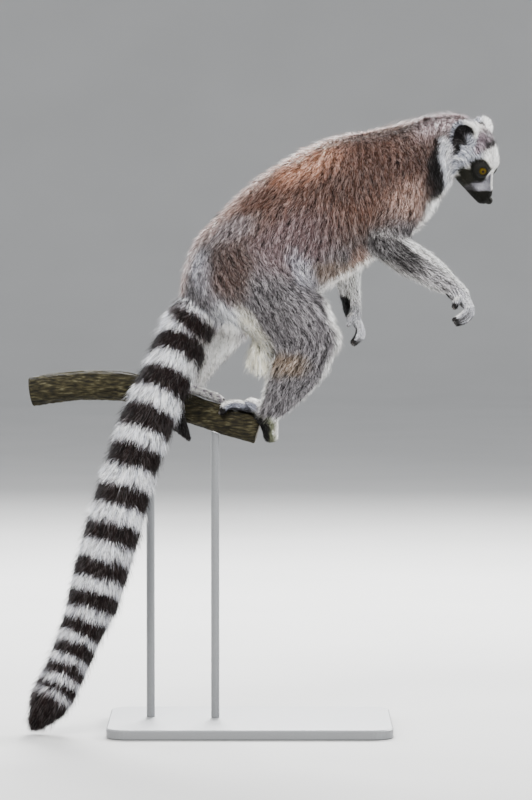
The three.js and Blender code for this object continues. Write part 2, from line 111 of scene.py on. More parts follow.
MUZZLE = [  # x, z, half height, half width
    [-48, -4, 27, 22], [-36, -7, 22.5, 18], [-24, -8, 17.5, 14.5], [-14, -8.5, 13.5, 12],
    [-7.5, -8, 10.5, 10], [-3.5, -6, 6, 6.5],
]
EYE = (-40, 16, 8)  # on the left, as are the ear's places
EYE_RADIUS = 9
EYE_LOOK = (0.50, 0.82, 0.22)
LID_RADIUS = 10.3
LID_HALF = (36, 30)  # degrees that the lids open along and across
EAR_BASE = (-70, 27, 6)
EAR_TIP = (-99.5, 44, 20)
EAR_FACING = (0.42, 0.78, -0.05)
EAR_WIDTH = 16.5
EAR_DEPTH = 9
EAR_HOLLOW = 4.5
EAR_INSET = 2.6

# coat: length, tuft width, lift in degrees, tufts per square millimetre, clump radius
COATS = {
    "trunk": (10, 0.60, 27, 2.3, 1.0),
    "thigh": (9.5, 0.60, 27, 2.3, 1.0),
    "shank": (8, 0.58, 27, 2.3, 0.95),
    "upper_arm": (8.5, 0.60, 27, 2.3, 1.0),
    "forearm": (6, 0.54, 24, 2.4, 0.9),
    "tail": (13, 0.66, 31, 2.1, 1.8),
    "fringe": (16, 0.50, 25, 2.2, 2.6),
    "hand": (2.4, 0.50, 18, 1.6, 1.0),
    "foot": (2.8, 0.55, 20, 1.6, 1.1),
}
DEPTHS = {  # how far the skin lies inside the outline
    "trunk": 5.2, "thigh": 4.8, "fringe": 6.0, "shank": 3.8, "upper_arm": 4.3,
    "forearm": 2.6, "tail": 6.5,
}
DIGIT_DEPTH = 0.45
PALM_DEPTH = 0.9
TOE_GAP = 1  # between a toe and the branch


# --- small sums

def unit(v):
    v = np.asarray(v, float)
    return v / np.maximum(np.linalg.norm(v, axis=-1, keepdims=True), 1e-9)


def norm(rows):
    return np.linalg.norm(rows, axis=1)


def dot(a, b):
    return np.einsum("ij,ij->i", a, b)


def smooth(low, high, x):
    """0 below low, 1 above high, and a soft rise between."""
    t = np.clip((x - low) / (high - low), 0, 1)
    return t * t * (3 - 2 * t)


def spline(rows, steps):
    """Rows with steps - 1 more between each pair, along a smooth curve."""
    rows = np.asarray(rows, float)
    padded = np.vstack([2 * rows[0] - rows[1], rows, 2 * rows[-1] - rows[-2]])
    out = []
    for n in range(len(rows) - 1):
        a, b, c, d = padded[n:n + 4]
        for t in np.arange(steps) / steps:
            out.append(0.5 * (2 * b + (c - a) * t + (2 * a - 5 * b + 4 * c - d) * t * t
                              + (3 * b - a - 3 * c + d) * t ** 3))
    out.append(rows[-1])
    return np.array(out)


def waves(p, scale, seed, octaves=3):
    """Smooth noise between about -1 and 1, from sums of turned sine waves."""
    rng = np.random.default_rng(seed)
    total = np.zeros(len(p))
    for octave in range(octaves):
        for _ in range(4):
            direction = unit(rng.normal(size=3))
            phase = rng.random() * 2 * math.pi
            reach = 2 ** octave / scale * (0.7 + 0.6 * rng.random())
            total += np.sin(2 * math.pi * reach * (p @ direction) + phase) / 2 ** octave
    return total / 4


def ellipsoid_distance(local, size):
    reach = np.sqrt(((local / size) ** 2).sum(1)) + 1e-9
    steep = np.sqrt(((local / size ** 2) ** 2).sum(1)) + 1e-9
    return reach * (reach - 1) / steep


def blend(a, b, k):
    """The smaller of two distances, rounded over where they come within k."""
    if k <= 0:
        return np.minimum(a, b)
    h = np.maximum(k - np.abs(a - b), 0) / k
    return np.minimum(a, b) - h * h * k / 4


# --- distance field

class Solid:
    """A named solid and the box in which its distance is worked out."""

    coat_reach = COAT_REACH

    def __init__(self, region, centres, sizes, length):
        self.region = region
        self.length = length
        reach = sizes.max() + BESIDE
        self.low = centres.min(0) - reach
        self.high = centres.max(0) + reach

    def near(self, p):
        return np.all((p > self.low) & (p < self.high), axis=1)


class Loft(Solid):
    """A solid through elliptical sections, rounded at both ends."""

    def __init__(self, region, centres, ups, sides, halves):
        self.c, self.u, self.v, self.half = centres, unit(ups), unit(sides), halves
        self.n = unit(np.cross(self.u, self.v))
        self.offset = dot(self.c, self.n)
        self.step = np.diff(self.c, axis=0)
        ends = np.arange(len(self.step))
        self.first = ends == 0
        self.last = ends == ends[-1]
        steps = norm(self.step)
        self.run = np.concatenate([[0], np.cumsum(steps)])
        super().__init__(region, centres, halves, self.run[-1])

    def locate(self, p):
        """The section behind each point, and its share of the way to the next."""
        s = p @ self.n.T - self.offset
        before, after = s[:, :-1], s[:, 1:]
        gap = before - after
        t = np.clip(before / np.where(np.abs(gap) < 1e-6, 1e-6, gap), 0, 1)
        beside = (gap > 0) & ((before >= 0) | self.first) & ((after <= 0) | self.last)
        away = np.where(beside, 0.0, 1e7)
        for axis in range(3):
            away += (p[:, axis, None] - self.c[:-1, axis] - t * self.step[:, axis]) ** 2
        k = np.argmin(away, axis=1)
        return k, t[np.arange(len(p)), k]

    def measure(self, p):
        """Distance, place along in mm, angle round and the section's own axes."""
        k, t = self.locate(p)

        def mixed(rows):
            return rows[k] + (rows[k + 1] - rows[k]) * t[:, None]

        u, v, n = mixed(self.u), mixed(self.v), mixed(self.n)
        half = mixed(self.half)
        q = p - mixed(self.c)
        local = np.stack([dot(q, u), dot(q, v), dot(q, n)], 1)
        size = np.stack([half[:, 0], half[:, 1], half.min(1)], 1)
        along = self.run[k] + t * (self.run[k + 1] - self.run[k])
        angle = np.arctan2(local[:, 1], local[:, 0])
        return {"d": ellipsoid_distance(local, size), "along": along, "angle": angle,
                "u": u, "v": v, "n": n}

    def outward(self, p):
        """Directions of points from the loft's own line."""
        k, t = self.locate(p)
        return unit(p - self.c[k] - t[:, None] * self.step[k])


class Ball(Solid):
    """An ellipsoid of the head, along the head's own axes."""

    def __init__(self, region, centre, size):
        super().__init__(region, centre[None], size, 2 * size[0])
        self.c, self.size = centre, size

    def measure(self, p):
        local = (p - self.c) @ HEAD.T
        return {"d": ellipsoid_distance(local, self.size), "along": local[:, 0] + self.size[0],
                "angle": np.arctan2(local[:, 1], local[:, 2])}


class Ear:
    """A cupped shell that stands on the head, with a facing, an across and an up axis."""

    coat_reach = math.inf
    length = 1

    def __init__(self, side):
        self.side = side
        self.region = "ear_R" if side == RIGHT else "ear_L"
        base, tip = sided(side, EAR_BASE), sided(side, EAR_TIP)
        up = unit(tip - base)
        facing = sided(side, EAR_FACING)
        facing = unit(facing - facing.dot(up) * up)
        self.middle = from_head((base + tip) / 2)
        self.reach = np.linalg.norm(tip - base) / 2
        self.axes = np.array([facing, np.cross(facing, up), up]) @ HEAD

    def near(self, p, room=EAR_COAT_ROOM):
        return norm(p - self.middle) < room

    def local(self, p):
        return (p - self.middle) @ self.axes.T

    def ring(self, local):
        """0 in the middle of the ear and 1 at its rim."""
        return np.hypot(local[:, 1] / EAR_WIDTH, (local[:, 2] + 1) / self.reach)

    def measure(self, p):
        local = self.local(p)
        outer = np.array([EAR_DEPTH, EAR_WIDTH, self.reach]) - EAR_INSET
        hollow = np.array([EAR_DEPTH, EAR_WIDTH - 2, self.reach - 2]) - 0.6
        shell = ellipsoid_distance(local, outer)
        scoop = ellipsoid_distance(local - [EAR_HOLLOW, 0, 0], hollow)
        lobe = local - [0, 3 * self.side, -self.reach * 0.55]
        lobe = ellipsoid_distance(lobe, np.array([4.5, 6, 8.0]))
        return {"d": blend(-blend(-shell, scoop, 1.2), lobe, 3),
                "along": (local[:, 2] / self.reach + 1) / 2,
                "angle": np.arctan2(local[:, 1], local[:, 0] - EAR_HOLLOW / 2)}

    def lie(self, p):
        local = self.local(p)
        lie = np.stack([-0.15 * np.ones(len(p)), 1.3 * local[:, 1] / EAR_WIDTH,
                        0.7 + local[:, 2] / self.reach], 1)
        return lie @ self.axes

    def coat(self, p):
        """Short hair in the cup of the ear and longer hair on its rim."""
        coat = np.tile([0, 0.5, 26, 3.2, 1.2], (len(p), 1))
        coat[:, 0] = 2.0 + 2.6 * smooth(0.66, 0.92, self.ring(self.local(p)))
        return coat


# --- body parts

def limb(region, rows, depth=0.0, reference=(0, 1, 0), steps=3):
    """A loft along rows [x, y, z, half depth, half width], drawn in by the coat's depth."""
    rows = np.asarray(rows, float)
    path = rows[:, :3]
    along = unit(np.vstack([path[1] - path[0], path[2:] - path[:-2], path[-1] - path[-2]]))
    ups = unit(np.cross(reference, along))
    table = spline(np.hstack([path, ups, np.cross(along, ups), rows[:, 3:5]]), steps)
    halves = table[:, 9:11]
    halves = halves - np.minimum(depth, 0.42 * halves)
    return Loft(region, table[:, :3], table[:, 3:6], table[:, 6:9], halves)


def round_limb(region, rows, depth):
    """A limb of rows [x, y, z, radius]."""
    return limb(region, [[*row, row[3]] for row in rows], depth, steps=2)


def trunk():
    table = spline(TRUNK, 3)
    lean = np.radians(table[:, 4])
    nothing = np.zeros(len(table))
    centres = np.stack([table[:, 0], nothing, table[:, 1]], 1)
    ups = np.stack([np.sin(lean), nothing, np.cos(lean)], 1)
    sides = np.tile([0.0, -1.0, 0.0], (len(table), 1))
    return Loft("trunk", centres, ups, sides, table[:, 2:4] - DEPTHS["trunk"])


def head_axes():
    """Rows: the head's snout, left and crown directions."""
    drop, roll, turn = (math.radians(a) for a in (SNOUT_DROP, HEAD_ROLL, HEAD_TURN))
    ahead = np.array([math.cos(drop), 0, -math.sin(drop)])
    level = np.array([0.0, 1.0, 0.0])
    upright = np.cross(ahead, level)
    snout = ahead * math.cos(turn) - level * math.sin(turn)
    aside = level * math.cos(turn) + ahead * math.sin(turn)
    crown = upright * math.cos(roll) - aside * math.sin(roll)
    return np.array([snout, np.cross(crown, snout), crown])


HEAD = head_axes()


def to_head(p):
    return (p - NOSE) @ HEAD.T


def from_head(p):
    return np.asarray(p, float) @ HEAD + NOSE


def sided(side, v):
    return np.array([v[0], side * v[1], v[2]], float)


def head_parts():
    parts = []
    for _, at, size, depth, k in HEAD_BALLS:
        for side in ([RIGHT, LEFT] if at[1] else [LEFT]):
            parts.append((Ball("head", from_head(sided(side, at)), np.array(size) - depth), k))
    rows = [[*from_head((x, 0, z)), high, wide] for x, z, high, wide in MUZZLE]
    parts.append((limb("head", rows, 1.0, HEAD[1]), 5))
    return parts


def branch_at(x):
    rows = np.array(BRANCH, float)
    return [np.interp(x, rows[:, 0], rows[:, column]) for column in (1, 2, 3)]


def wrapped(region, stops, radii, lifts):
    """A toe laid round the branch: pairs of x and angle, 0 on top, 90 on the left side."""
    rows = []
    for (x, degrees), radius, lift in zip(stops, radii, lifts):
        y, z, branch_radius = branch_at(x)
        reach = branch_radius + radius + lift + TOE_GAP
        angle = math.radians(degrees)
        rows.append([x, y + reach * math.sin(angle), z + reach * math.cos(angle), radius])
    return round_limb(region, rows, DIGIT_DEPTH)


def hand(region, palm, fingers, thumb):
    """A palm with its four fingers and thumb."""
    digits = [round_limb(region, rows, DIGIT_DEPTH) for rows in [*fingers, thumb]]
    return limb(region, palm, PALM_DEPTH), digits


def right_hand():
    palm = [[245, -64, 528, 10, 10], [252, -64, 520.5, 9, 12], [257, -64, 513.5, 7, 13]]
    fingers = []
    for y, tuck in zip([-75, -68, -60, -53], [6, 4, 1.5, -2]):
        fingers.append([[256, y * 0.6 - 25.6, 515, 4.6], [261 - tuck * 0.6, y, 509, 4.2],
                        [260 - tuck, y, 501 + tuck * 0.3, 3.8],
                        [254 - tuck, y, 494.5 + tuck * 0.6, 3.6],
                        [246 - tuck * 0.6, y, 491 + tuck * 0.8, 3]])
    thumb = [[248, -71, 522, 4.5], [244.5, -76, 517, 4.3], [242.5, -76, 511.5, 3.8]]
    return hand("hand_R", palm, fingers, thumb)


def left_hand():
    palm = [[123, 50, 504, 9, 10], [126, 50, 495, 7.5, 12], [130, 50, 485, 6, 12.5]]
    fingers = []
    for y, tuck in zip([40, 46.5, 53.5, 60], [4, 2.5, 0.5, -1.5]):
        fingers.append([[130, y * 0.6 + 20, 487, 4.2], [134 - tuck * 0.6, y, 478, 4.2],
                        [133 - tuck, y, 469 + tuck * 0.3, 3.8],
                        [126 - tuck * 0.5, y, 462 + tuck * 0.6, 3]])
    thumb = [[125, 43, 499, 4.5], [121, 38, 493, 4.2], [119, 38, 486, 3.4]]
    return hand("hand_L", palm, fingers, thumb)


def right_foot():
    palm = [[25, -14, 354, 9, 10], [23, -14, 368, 11, 12], [14, -9, 384, 11, 13],
            [4, -1, 390, 8, 15]]
    toes = []
    for n, x in enumerate([6, -1, -8, -15]):
        stops = [[x * 0.6, 14], [x, 52], [x - 1, 88], [x - 2, 118 + 2 * n]]
        toes.append(wrapped("foot_R", stops, [5, 4.4, 4.1, 3.2], [1, 0, 0, 0]))
    stops = [[8, -8], [-6, -14], [-19, -22], [-29, -40], [-33, -62]]
    toes.append(wrapped("foot_R", stops, [6.5, 6.2, 6, 5.4, 4.2], [1, 0.6, 0, 0, 0]))
    return limb("foot_R", palm, PALM_DEPTH), toes


def left_foot():
    palm = [[-78, 40, 396, 9, 9], [-74, 31, 405, 10, 11], [-74, 20, 411, 9, 13],
            [-77, 8, 411, 7, 14]]
    toes = []
    for n, x in enumerate([-86, -91, -96, -101]):
        stops = [[0.6 * x - 28, -8], [x + 2, -50], [x, -90], [x + 6, -126], [x + 12, -152]]
        toes.append(wrapped("foot_L", stops, [5, 4.4, 4.2, 4, 3.2], [1, 0, 0, 7, 17 - 2 * n]))
    stops = [[-66, 10], [-56, 12], [-48, 12], [-41, 12], [-36, 13]]
    toes.append(wrapped("foot_L", stops, [5.2, 5.4, 5.3, 5.6, 4.6], [0.2, 0, 0, 0, 0]))
    return limb("foot_L", palm, PALM_DEPTH), toes


GRIPS = {  # palm and digits of each hand and foot
    "hand_R": right_hand(), "hand_L": left_hand(), "foot_R": right_foot(), "foot_L": left_foot(),
}


def body_parts():
    """Every solid of the body with how softly it joins what comes before it."""
    parts = [(trunk(), 0)]

    def add(name, side, k, reference=(0, 1, 0)):
        region = f"{name}_{side}"
        parts.append((limb(region, LIMBS[region], DEPTHS[name], unit(reference)), k))

    for side in "RL":
        reference = LEFT_LEG_REFERENCE if side == "L" else (0, 1, 0)
        add("thigh", side, 20, reference)
        add("shank", side, 9, reference)
        if side == "R":
            parts.append((limb("fringe_R", GROIN_FRINGE, DEPTHS["fringe"]), 8))
        add("upper_arm", side, 20)
        add("forearm", side, 9)
    parts.append((round_limb("tail", TAIL, DEPTHS["tail"]), 9))
    parts += head_parts()
    for palm, digits in GRIPS.values():
        parts.append((palm, 6))
        parts += [(one, 1.6) for one in digits]
    return parts


BODY = body_parts()
EARS = [Ear(RIGHT), Ear(LEFT)]
PARTS = [part for part, _ in BODY] + EARS


def eye_opening(p, side):
    """How far outside the opening of the lids a point lies, seen from the eye's centre."""
    centre = from_head(sided(side, EYE))
    look = unit(sided(side, EYE_LOOK)) @ HEAD
    across = unit(np.cross(HEAD[2], look))
    up = np.cross(look, across)
    away = p - centre
    ahead = dot(away, look[None, :])
    h = np.degrees(np.arctan2(away @ across, ahead)) / LID_HALF[0]
    v = np.degrees(np.arctan2(away @ up, ahead)) / LID_HALF[1]
    return (np.sqrt(h * h + v * v) - 1) * 5.2, norm(away)


def face_features(p, d):
    """Lids, nostrils and the line of the mouth, worked into the head's distance."""
    local = to_head(p)
    x, y, z = local.T
    for side in (RIGHT, LEFT):
        outside, away = eye_opening(p, side)
        d = blend(d, away - LID_RADIUS, 3.0)
        d = np.maximum(d, -np.maximum(outside, away - 16))
    mouth = -13.5 - 0.18 * (x + 6)
    groove = np.exp(-((z - mouth) / 0.8) ** 2) * smooth(-34, -26, x) * smooth(0.5, -3, x)
    d = d + 0.9 * groove
    for side in (RIGHT, LEFT):
        nostril = np.array([-1.2, side * 4.2, -4.2])
        tube = ellipsoid_distance(local - nostril, np.array([3.0, 1.3, 1.2]))
        d = -blend(-d, tube, 0.6)
    cleft = np.exp(-(y / 0.6) ** 2) * smooth(-6, -3, x) * smooth(-5, -8, z)
    return d + 0.5 * cleft


def skin_distance(p):
    """Distance to the skin, negative inside."""
    d = np.full(len(p), FAR)
    for part, k in BODY:
        near = part.near(p)
        d[near] = blend(d[near], part.measure(p[near])["d"], k)
    for ear in EARS:
        near = ear.near(p, EAR_ROOM)
        d[near] = blend(d[near], ear.measure(p[near])["d"], 4)
    near = norm(p - from_head(FACE_MIDDLE)) < FACE_ROOM
    d[near] = face_features(p[near], d[near])
    return d


# --- surface extraction

GRID_LOW = np.array([-300.0, -120.0, -20.0])  # corner of the grid of cells, in mm
GRID_SIZE = np.array([620, 320, 790])
COARSE = 9.6  # first and last size of the cells
FINE = 1.2
CORNERS = np.array([[i, j, k] for i in (0, 1) for j in (0, 1) for k in (0, 1)])
EDGES = [(a, a | bit) for a in range(8) for bit in (4, 2, 1) if not a & bit]


def band_cells():
    """Whole-number places of the finest cells that the surface may pass."""
    size = COARSE
    shape = np.ceil(GRID_SIZE / size).astype(int)
    cells = np.stack(np.meshgrid(*[np.arange(n) for n in shape], indexing="ij"), -1)
    cells = cells.reshape(-1, 3)
    while True:
        middle = GRID_LOW + (cells + 0.5) * size
        cells = cells[np.abs(skin_distance(middle)) < size + 0.6]
        if size <= FINE * 1.01:
            return cells
        cells = (cells[:, None, :] * 2 + CORNERS[None]).reshape(-1, 3)
        size /= 2


def key(cells):
    return (cells[:, 0] * 4096 + cells[:, 1]) * 4096 + cells[:, 2]


def find(keys, wanted):
    """Places of wanted keys in a sorted list, or -1."""
    place = np.minimum(np.searchsorted(keys, wanted), len(keys) - 1)
    return np.where(keys[place] == wanted, place, -1)


def halved(quads):
    return np.concatenate([quads[:, [0, 1, 2]], quads[:, [0, 2, 3]]])


def surface_net():
    """Vertices and triangles of the skin, one vertex in each cell that it crosses."""
    cells = band_cells()
    corners = (cells[:, None, :] + CORNERS[None]).reshape(-1, 3)
    keys, first, place = np.unique(key(corners), return_index=True, return_inverse=True)
    points = corners[first]
    value = skin_distance(GRID_LOW + points * FINE)
    at = value[place].reshape(-1, 8)
    crossing = (at.min(1) < 0) & (at.max(1) >= 0)
    cells, at = cells[crossing], at[crossing]
    total, count = np.zeros((len(cells), 3)), np.zeros(len(cells))
    for a, b in EDGES:
        cut = (at[:, a] < 0) != (at[:, b] < 0)
        t = at[cut, a] / (at[cut, a] - at[cut, b])
        total[cut] += CORNERS[a] + (CORNERS[b] - CORNERS[a]) * t[:, None]
        count[cut] += 1
    vertices = GRID_LOW + (cells + total / count[:, None]) * FINE
    order = np.argsort(key(cells))
    sorted_keys = key(cells)[order]
    quads = []
    for axis in range(3):
        ahead, p, q = np.roll(np.eye(3, dtype=int), axis, axis=1)
        other = find(keys, key(points + ahead))
        edge = (other >= 0) & ((value < 0) != (value[other] < 0))
        start, inward = points[edge], value[edge] < 0
        found = [find(sorted_keys, key(start - step)) for step in (0 * p, p, p + q, q)]
        ring = np.stack(found, 1)
        whole = (ring >= 0).all(1)
        ring, inward = order[ring[whole]], inward[whole]
        ring[~inward] = ring[~inward][:, ::-1]
        quads.append(ring)
    return vertices, halved(np.concatenate(quads)), cells


def fine_zone(p):
    """Where the skin keeps its small cells: head, ears, hands and feet."""
    local = to_head(p)
    zone = (local[:, 0] > -58) & (local[:, 0] < 8) & (norm(local) < 64)
    for ear in EARS:
        zone |= ear.near(p, EAR_FINE_ROOM)
    for palm, digits in GRIPS.values():
        for part in [palm, *digits]:
            near = part.near(p)
            zone[near] |= part.measure(p[near])["d"] < 2.5
    return zone


def cluster(vertices, faces, cells):
    """Joins the vertices of each block of 3 x 3 x 3 cells outside the fine zones."""
    fine = fine_zone(vertices)
    block = np.where(fine, key(cells), -1 - key(cells // 3))
    _, label = np.unique(block, return_inverse=True)
    count = np.bincount(label)
    merged = np.stack([np.bincount(label, vertices[:, a]) for a in range(3)], 1) / count[:, None]
    faces = label[faces]
    a, b, c = faces.T
    return merged, faces[(a != b) & (b != c) & (c != a)]


def settle(vertices, times=2):
    """Moves vertices onto the skin along the field's slope."""
    h = 0.25
    for _ in range(times):
        d = skin_distance(vertices)
        slope = np.stack([(skin_distance(vertices + h * e) - d) / h for e in np.eye(3)], 1)
        step = d[:, None] * slope / np.maximum((slope ** 2).sum(1), 0.2)[:, None]
        vertices = vertices - np.clip(step, -1.5, 1.5)
    return vertices


def split_edges(vertices, faces, wanted):
    """Halves the edges of wanted faces, and cuts each face by its halved edges."""
    edges = np.sort(faces[:, [0, 1, 1, 2, 2, 0]].reshape(-1, 2), axis=1)
    names, number = np.unique(edges, axis=0, return_inverse=True)
    number = number.reshape(-1, 3)
    halved_names = np.zeros(len(names), bool)
    halved_names[number[wanted].ravel()] = True
    middle = np.full(len(names), -1)
    middle[halved_names] = len(vertices) + np.arange(halved_names.sum())
    vertices = np.vstack([vertices, vertices[names[halved_names]].mean(1)])
    six = np.hstack([faces, middle[number]])  # a face's corners, then the middles of its edges
    cut = six[:, 3:] >= 0
    count = cut.sum(1)
    patterns = [(count == 0, [0, 1, 2]), (count == 3, [0, 3, 5], [3, 1, 4], [5, 4, 2], [3, 4, 5])]
    for a, b, c in ((0, 1, 2), (1, 2, 0), (2, 0, 1)):
        patterns += [((count == 1) & cut[:, a], [a, 3 + a, c], [3 + a, b, c]),
                     ((count == 2) & ~cut[:, c], [3 + a, b, 3 + b], [a, 3 + a, 3 + b],
                      [a, 3 + b, c])]
    return vertices, np.concatenate([six[chosen][:, corners] for chosen, *pieces in patterns
                                     for corners in pieces])


def face_zone(p):
    """Where the face is finest: round the eyes, the nose and the mouth."""
    local = to_head(p)
    zone = (local[:, 0] > -16) & (local[:, 0] < 6) & (np.abs(local[:, 1]) < 16)
    zone &= np.abs(local[:, 2] + 6) < 22
    for side in (RIGHT, LEFT):
        outside, away = eye_opening(p, side)
        zone |= (away < 13) & (np.abs(outside) < 4)
    return zone


def build_skin():
    vertices, faces, cells = surface_net()
    vertices, faces = cluster(vertices, faces, cells)
    vertices = settle(vertices)
    wanted = face_zone(vertices[faces].mean(1))
    vertices, faces = split_edges(vertices, faces, wanted)
    zone = face_zone(vertices)
    vertices[zone] = settle(vertices[zone])
    return vertices, faces


def face_normals(vertices, faces):
    """Normals as long as twice the faces' areas."""
    a, b, c = (vertices[faces[:, n]] for n in range(3))
    return np.cross(b - a, c - a)


def vertex_normals(vertices, faces):
    across = face_normals(vertices, faces)
    normals = np.zeros_like(vertices)
    for axis in range(3):
        for corner in range(3):
            normals[:, axis] += np.bincount(faces[:, corner], across[:, axis], len(vertices))
    return unit(normals)


# --- lie of the coat

DOWN = np.array([0.0, 0.0, -1.0])
PARTING = (  # how far the trunk's coat runs back along the spine, by x
    (-60, 12, 60, 102, 144, 192, 228, 266),
    (1.1, 1.5, 1.2, 0.35, -0.1, -0.35, 0.3, 0.6),
)
DROPS = {"thigh": 0.6, "shank": 0.3, "fringe": 0.4, "upper_arm": 0.2, "tail": 0.1}


def base_name(region):
    return region[:-2] if region[-2:] in ("_R", "_L") else region


def round_section(m):
    """The way round a section from its back to its belly."""
    away = np.abs(m["angle"])
    side = np.sign(m["angle"]) * np.cos(away)
    share = smooth(0, 0.35, away) * smooth(math.pi, math.pi - 0.35, away)
    return (m["v"] * side[:, None] - m["u"] * np.sin(away)[:, None]) * share[:, None]


def head_lie(p):
    """The head's coat runs back from the nose, and away from the eyes."""
    local = to_head(p)
    lie = np.tile([-1.0, 0.0, 0.0], (len(p), 1))
    lie[:, 1] += 0.25 * np.sign(local[:, 1]) * smooth(-30, -60, local[:, 0])
    lie[:, 2] -= 0.35 * smooth(5, -20, local[:, 2]) * smooth(-25, -55, local[:, 0])
    for side in (RIGHT, LEFT):
        away = local - sided(side, EYE)
        reach = norm(away)
        lie += away / reach[:, None] * (1.3 * smooth(17, 9, reach))[:, None]
    return lie @ HEAD


def part_lie(part, p, m):
    name = base_name(part.region)
    if name == "trunk":
        back = np.interp(p[:, 0], *PARTING)
        return round_section(m) - m["n"] * back[:, None]
    if name == "head":
        return head_lie(p)
    if name == "ear":
        return part.lie(p)
    return m["n"] + DOWN * DROPS.get(name, 0)


def head_coat(p):
    """Length, tuft width, lift, density and clump radius over the head."""
    local = to_head(p)
    x, y, z = local[:, 0], np.abs(local[:, 1]), local[:, 2]
    eye = norm(np.stack([x, y, z], 1) - np.array(EYE))
    length = 1.5 + 3.6 * smooth(-28, -52, x)
    length += 5.5 * smooth(-52, -74, x) * smooth(12, -8, z)
    length *= 0.35 + 0.65 * smooth(10, 16, eye)
    width = 0.34 + 0.042 * length
    density = 5.6 - 0.38 * length
    lift = 17 + 1.1 * length
    return np.stack([length, width, lift, density, 0.6 + 0.22 * length], 1)


def part_coat(part, p):
    name = base_name(part.region)
    if name == "head":
        return head_coat(p)
    return part.coat(p) if name == "ear" else np.array(COATS[name])[None, :]


def describe(p):
    """What the parts say of each point: shares, lie, coat numbers and nearest part."""
    count = len(p)
    nearest = np.full(count, FAR)
    notes = []
    for part in PARTS:
        near = np.flatnonzero(part.near(p))
        m = part.measure(p[near])
        keep = m["d"] < part.coat_reach
        near, m = near[keep], {name: values[keep] for name, values in m.items()}
        notes.append((part, near, m))
        nearest[near] = np.minimum(nearest[near], m["d"])
    total, best = np.full(count, 1e-9), np.full(count, 1e9)
    lie, coat = np.zeros((count, 3)), np.zeros((count, 5))
    owner = np.zeros(count, int)
    shares, details = {}, {}
    for number, (part, near, m) in enumerate(notes):
        weight = np.exp(-(m["d"] - nearest[near]) / 3.0)
        total[near] += weight
        lie[near] += unit(part_lie(part, p[near], m)) * weight[:, None]
        coat[near] += part_coat(part, p[near]) * weight[:, None]
        shares.setdefault(part.region, np.zeros(count))[near] += weight
        closer = m["d"] < best[near]
        won = near[closer]
        best[won] = m["d"][closer]
        owner[won] = number
        detail = details.setdefault(part.region, np.zeros((count, 2)))
        detail[won] = np.stack([m["along"], m["angle"]], 1)[closer]
    shares = {region: share / total for region, share in shares.items()}
    return {"shares": shares, "details": details, "lie": unit(lie),
            "coat": coat / total[:, None], "owner": owner}


# --- markings

# colours as the eye sees them, made linear at the end
# painted highlight: the pale line of light along the top of the back
PAINTED_RIM_LIGHT = (0.82, 0.70, 0.66)
SADDLE = (0.325, 0.225, 0.185)
ORANGE = (0.67, 0.465, 0.365)
DARK_BROWN = (0.235, 0.165, 0.14)
MAUVE = (0.37, 0.30, 0.305)
GREY = (0.36, 0.345, 0.355)
SILVER = (0.60, 0.60, 0.64)
WHITE = (0.97, 0.96, 0.94)
COOL_WHITE = (0.93, 0.94, 0.98)
CHARCOAL = (0.12, 0.11, 0.11)
BLACK = (0.055, 0.046, 0.044)
RING_BLACK = (0.105, 0.068, 0.062)
MASK_BLACK = (0.062, 0.060, 0.038)
OCHRE = (0.50, 0.40, 0.29)
BEIGE = (0.46, 0.38, 0.32)
NAPE = (0.66, 0.57, 0.58)

# side-view spots of the trunk and limbs: colour, strength, x, z, reach x, reach z, turn
SPOTS = [
    (SADDLE, 0.9, 14, 632, 62, 22, 36),
    (SADDLE, 0.97, 108, 656, 132, 60, 17),
    (MAUVE, 0.85, 52, 590, 52, 34, 30),
    ((0.44, 0.41, 0.42), 0.8, -18, 604, 34, 14, 25),
    (ORANGE, 0.85, 72, 682, 44, 17, 25),
    (DARK_BROWN, 0.55, 164, 676, 38, 19, 0),
    (DARK_BROWN, 0.5, 118, 652, 34, 16, 10),
    (SILVER, 0.7, -56, 556, 14, 50, 30),
    (DARK_BROWN, 0.75, -24, 554, 25, 34, -20),
    (ORANGE, 0.5, 130, 568, 12, 20, 0),
    (BEIGE, 0.7, 104, 556, 34, 14, 0),
    ((0.57, 0.45, 0.40), 0.85, 196, 642, 26, 24, 0),
    (SILVER, 0.7, 60, 560, 16, 24, 20),
    (CHARCOAL, 0.25, 22, 512, 22, 32, 20),
    (OCHRE, 0.5, 46, 447, 22, 15, 0),
    (COOL_WHITE, 0.9, -27, 502, 20, 11, -38),
]
TAIL_RINGS = [  # along the tail, half width
    (18, 9), (79, 12.5), (122, 13.5), (169, 13.5), (214, 13.5), (263, 13), (309, 12.5),
    (353, 12), (392, 11.5), (426, 11), (456, 10), (482, 8.5), (505, 6.5),
]
TAIL_TIP = 520
HAND_HOLLOWS = {"hand_R": (251, 503), "hand_L": (121, 473)}  # x and z that the fingers curl round
GLANDS = [((114, 50, 510), (10, 14, 17)), ((231, -64, 524), (6.5, 8, 4.5))]  # place, reach


def paint(colour, rgb, mask):
    colour += (np.array(rgb) - colour) * np.clip(mask, 0, 1)[:, None]


def spot(p, x, z, reach_x, reach_z, turn, soft=0.35):
    """1 inside a turned ellipse of the side view, with a soft edge."""
    c, s = math.cos(math.radians(turn)), math.sin(math.radians(turn))
    dx, dz = p[:, 0] - x, p[:, 2] - z
    r = np.hypot((dx * c + dz * s) / reach_x, (dz * c - dx * s) / reach_z)
    return smooth(1 + soft, 1 - soft, r)


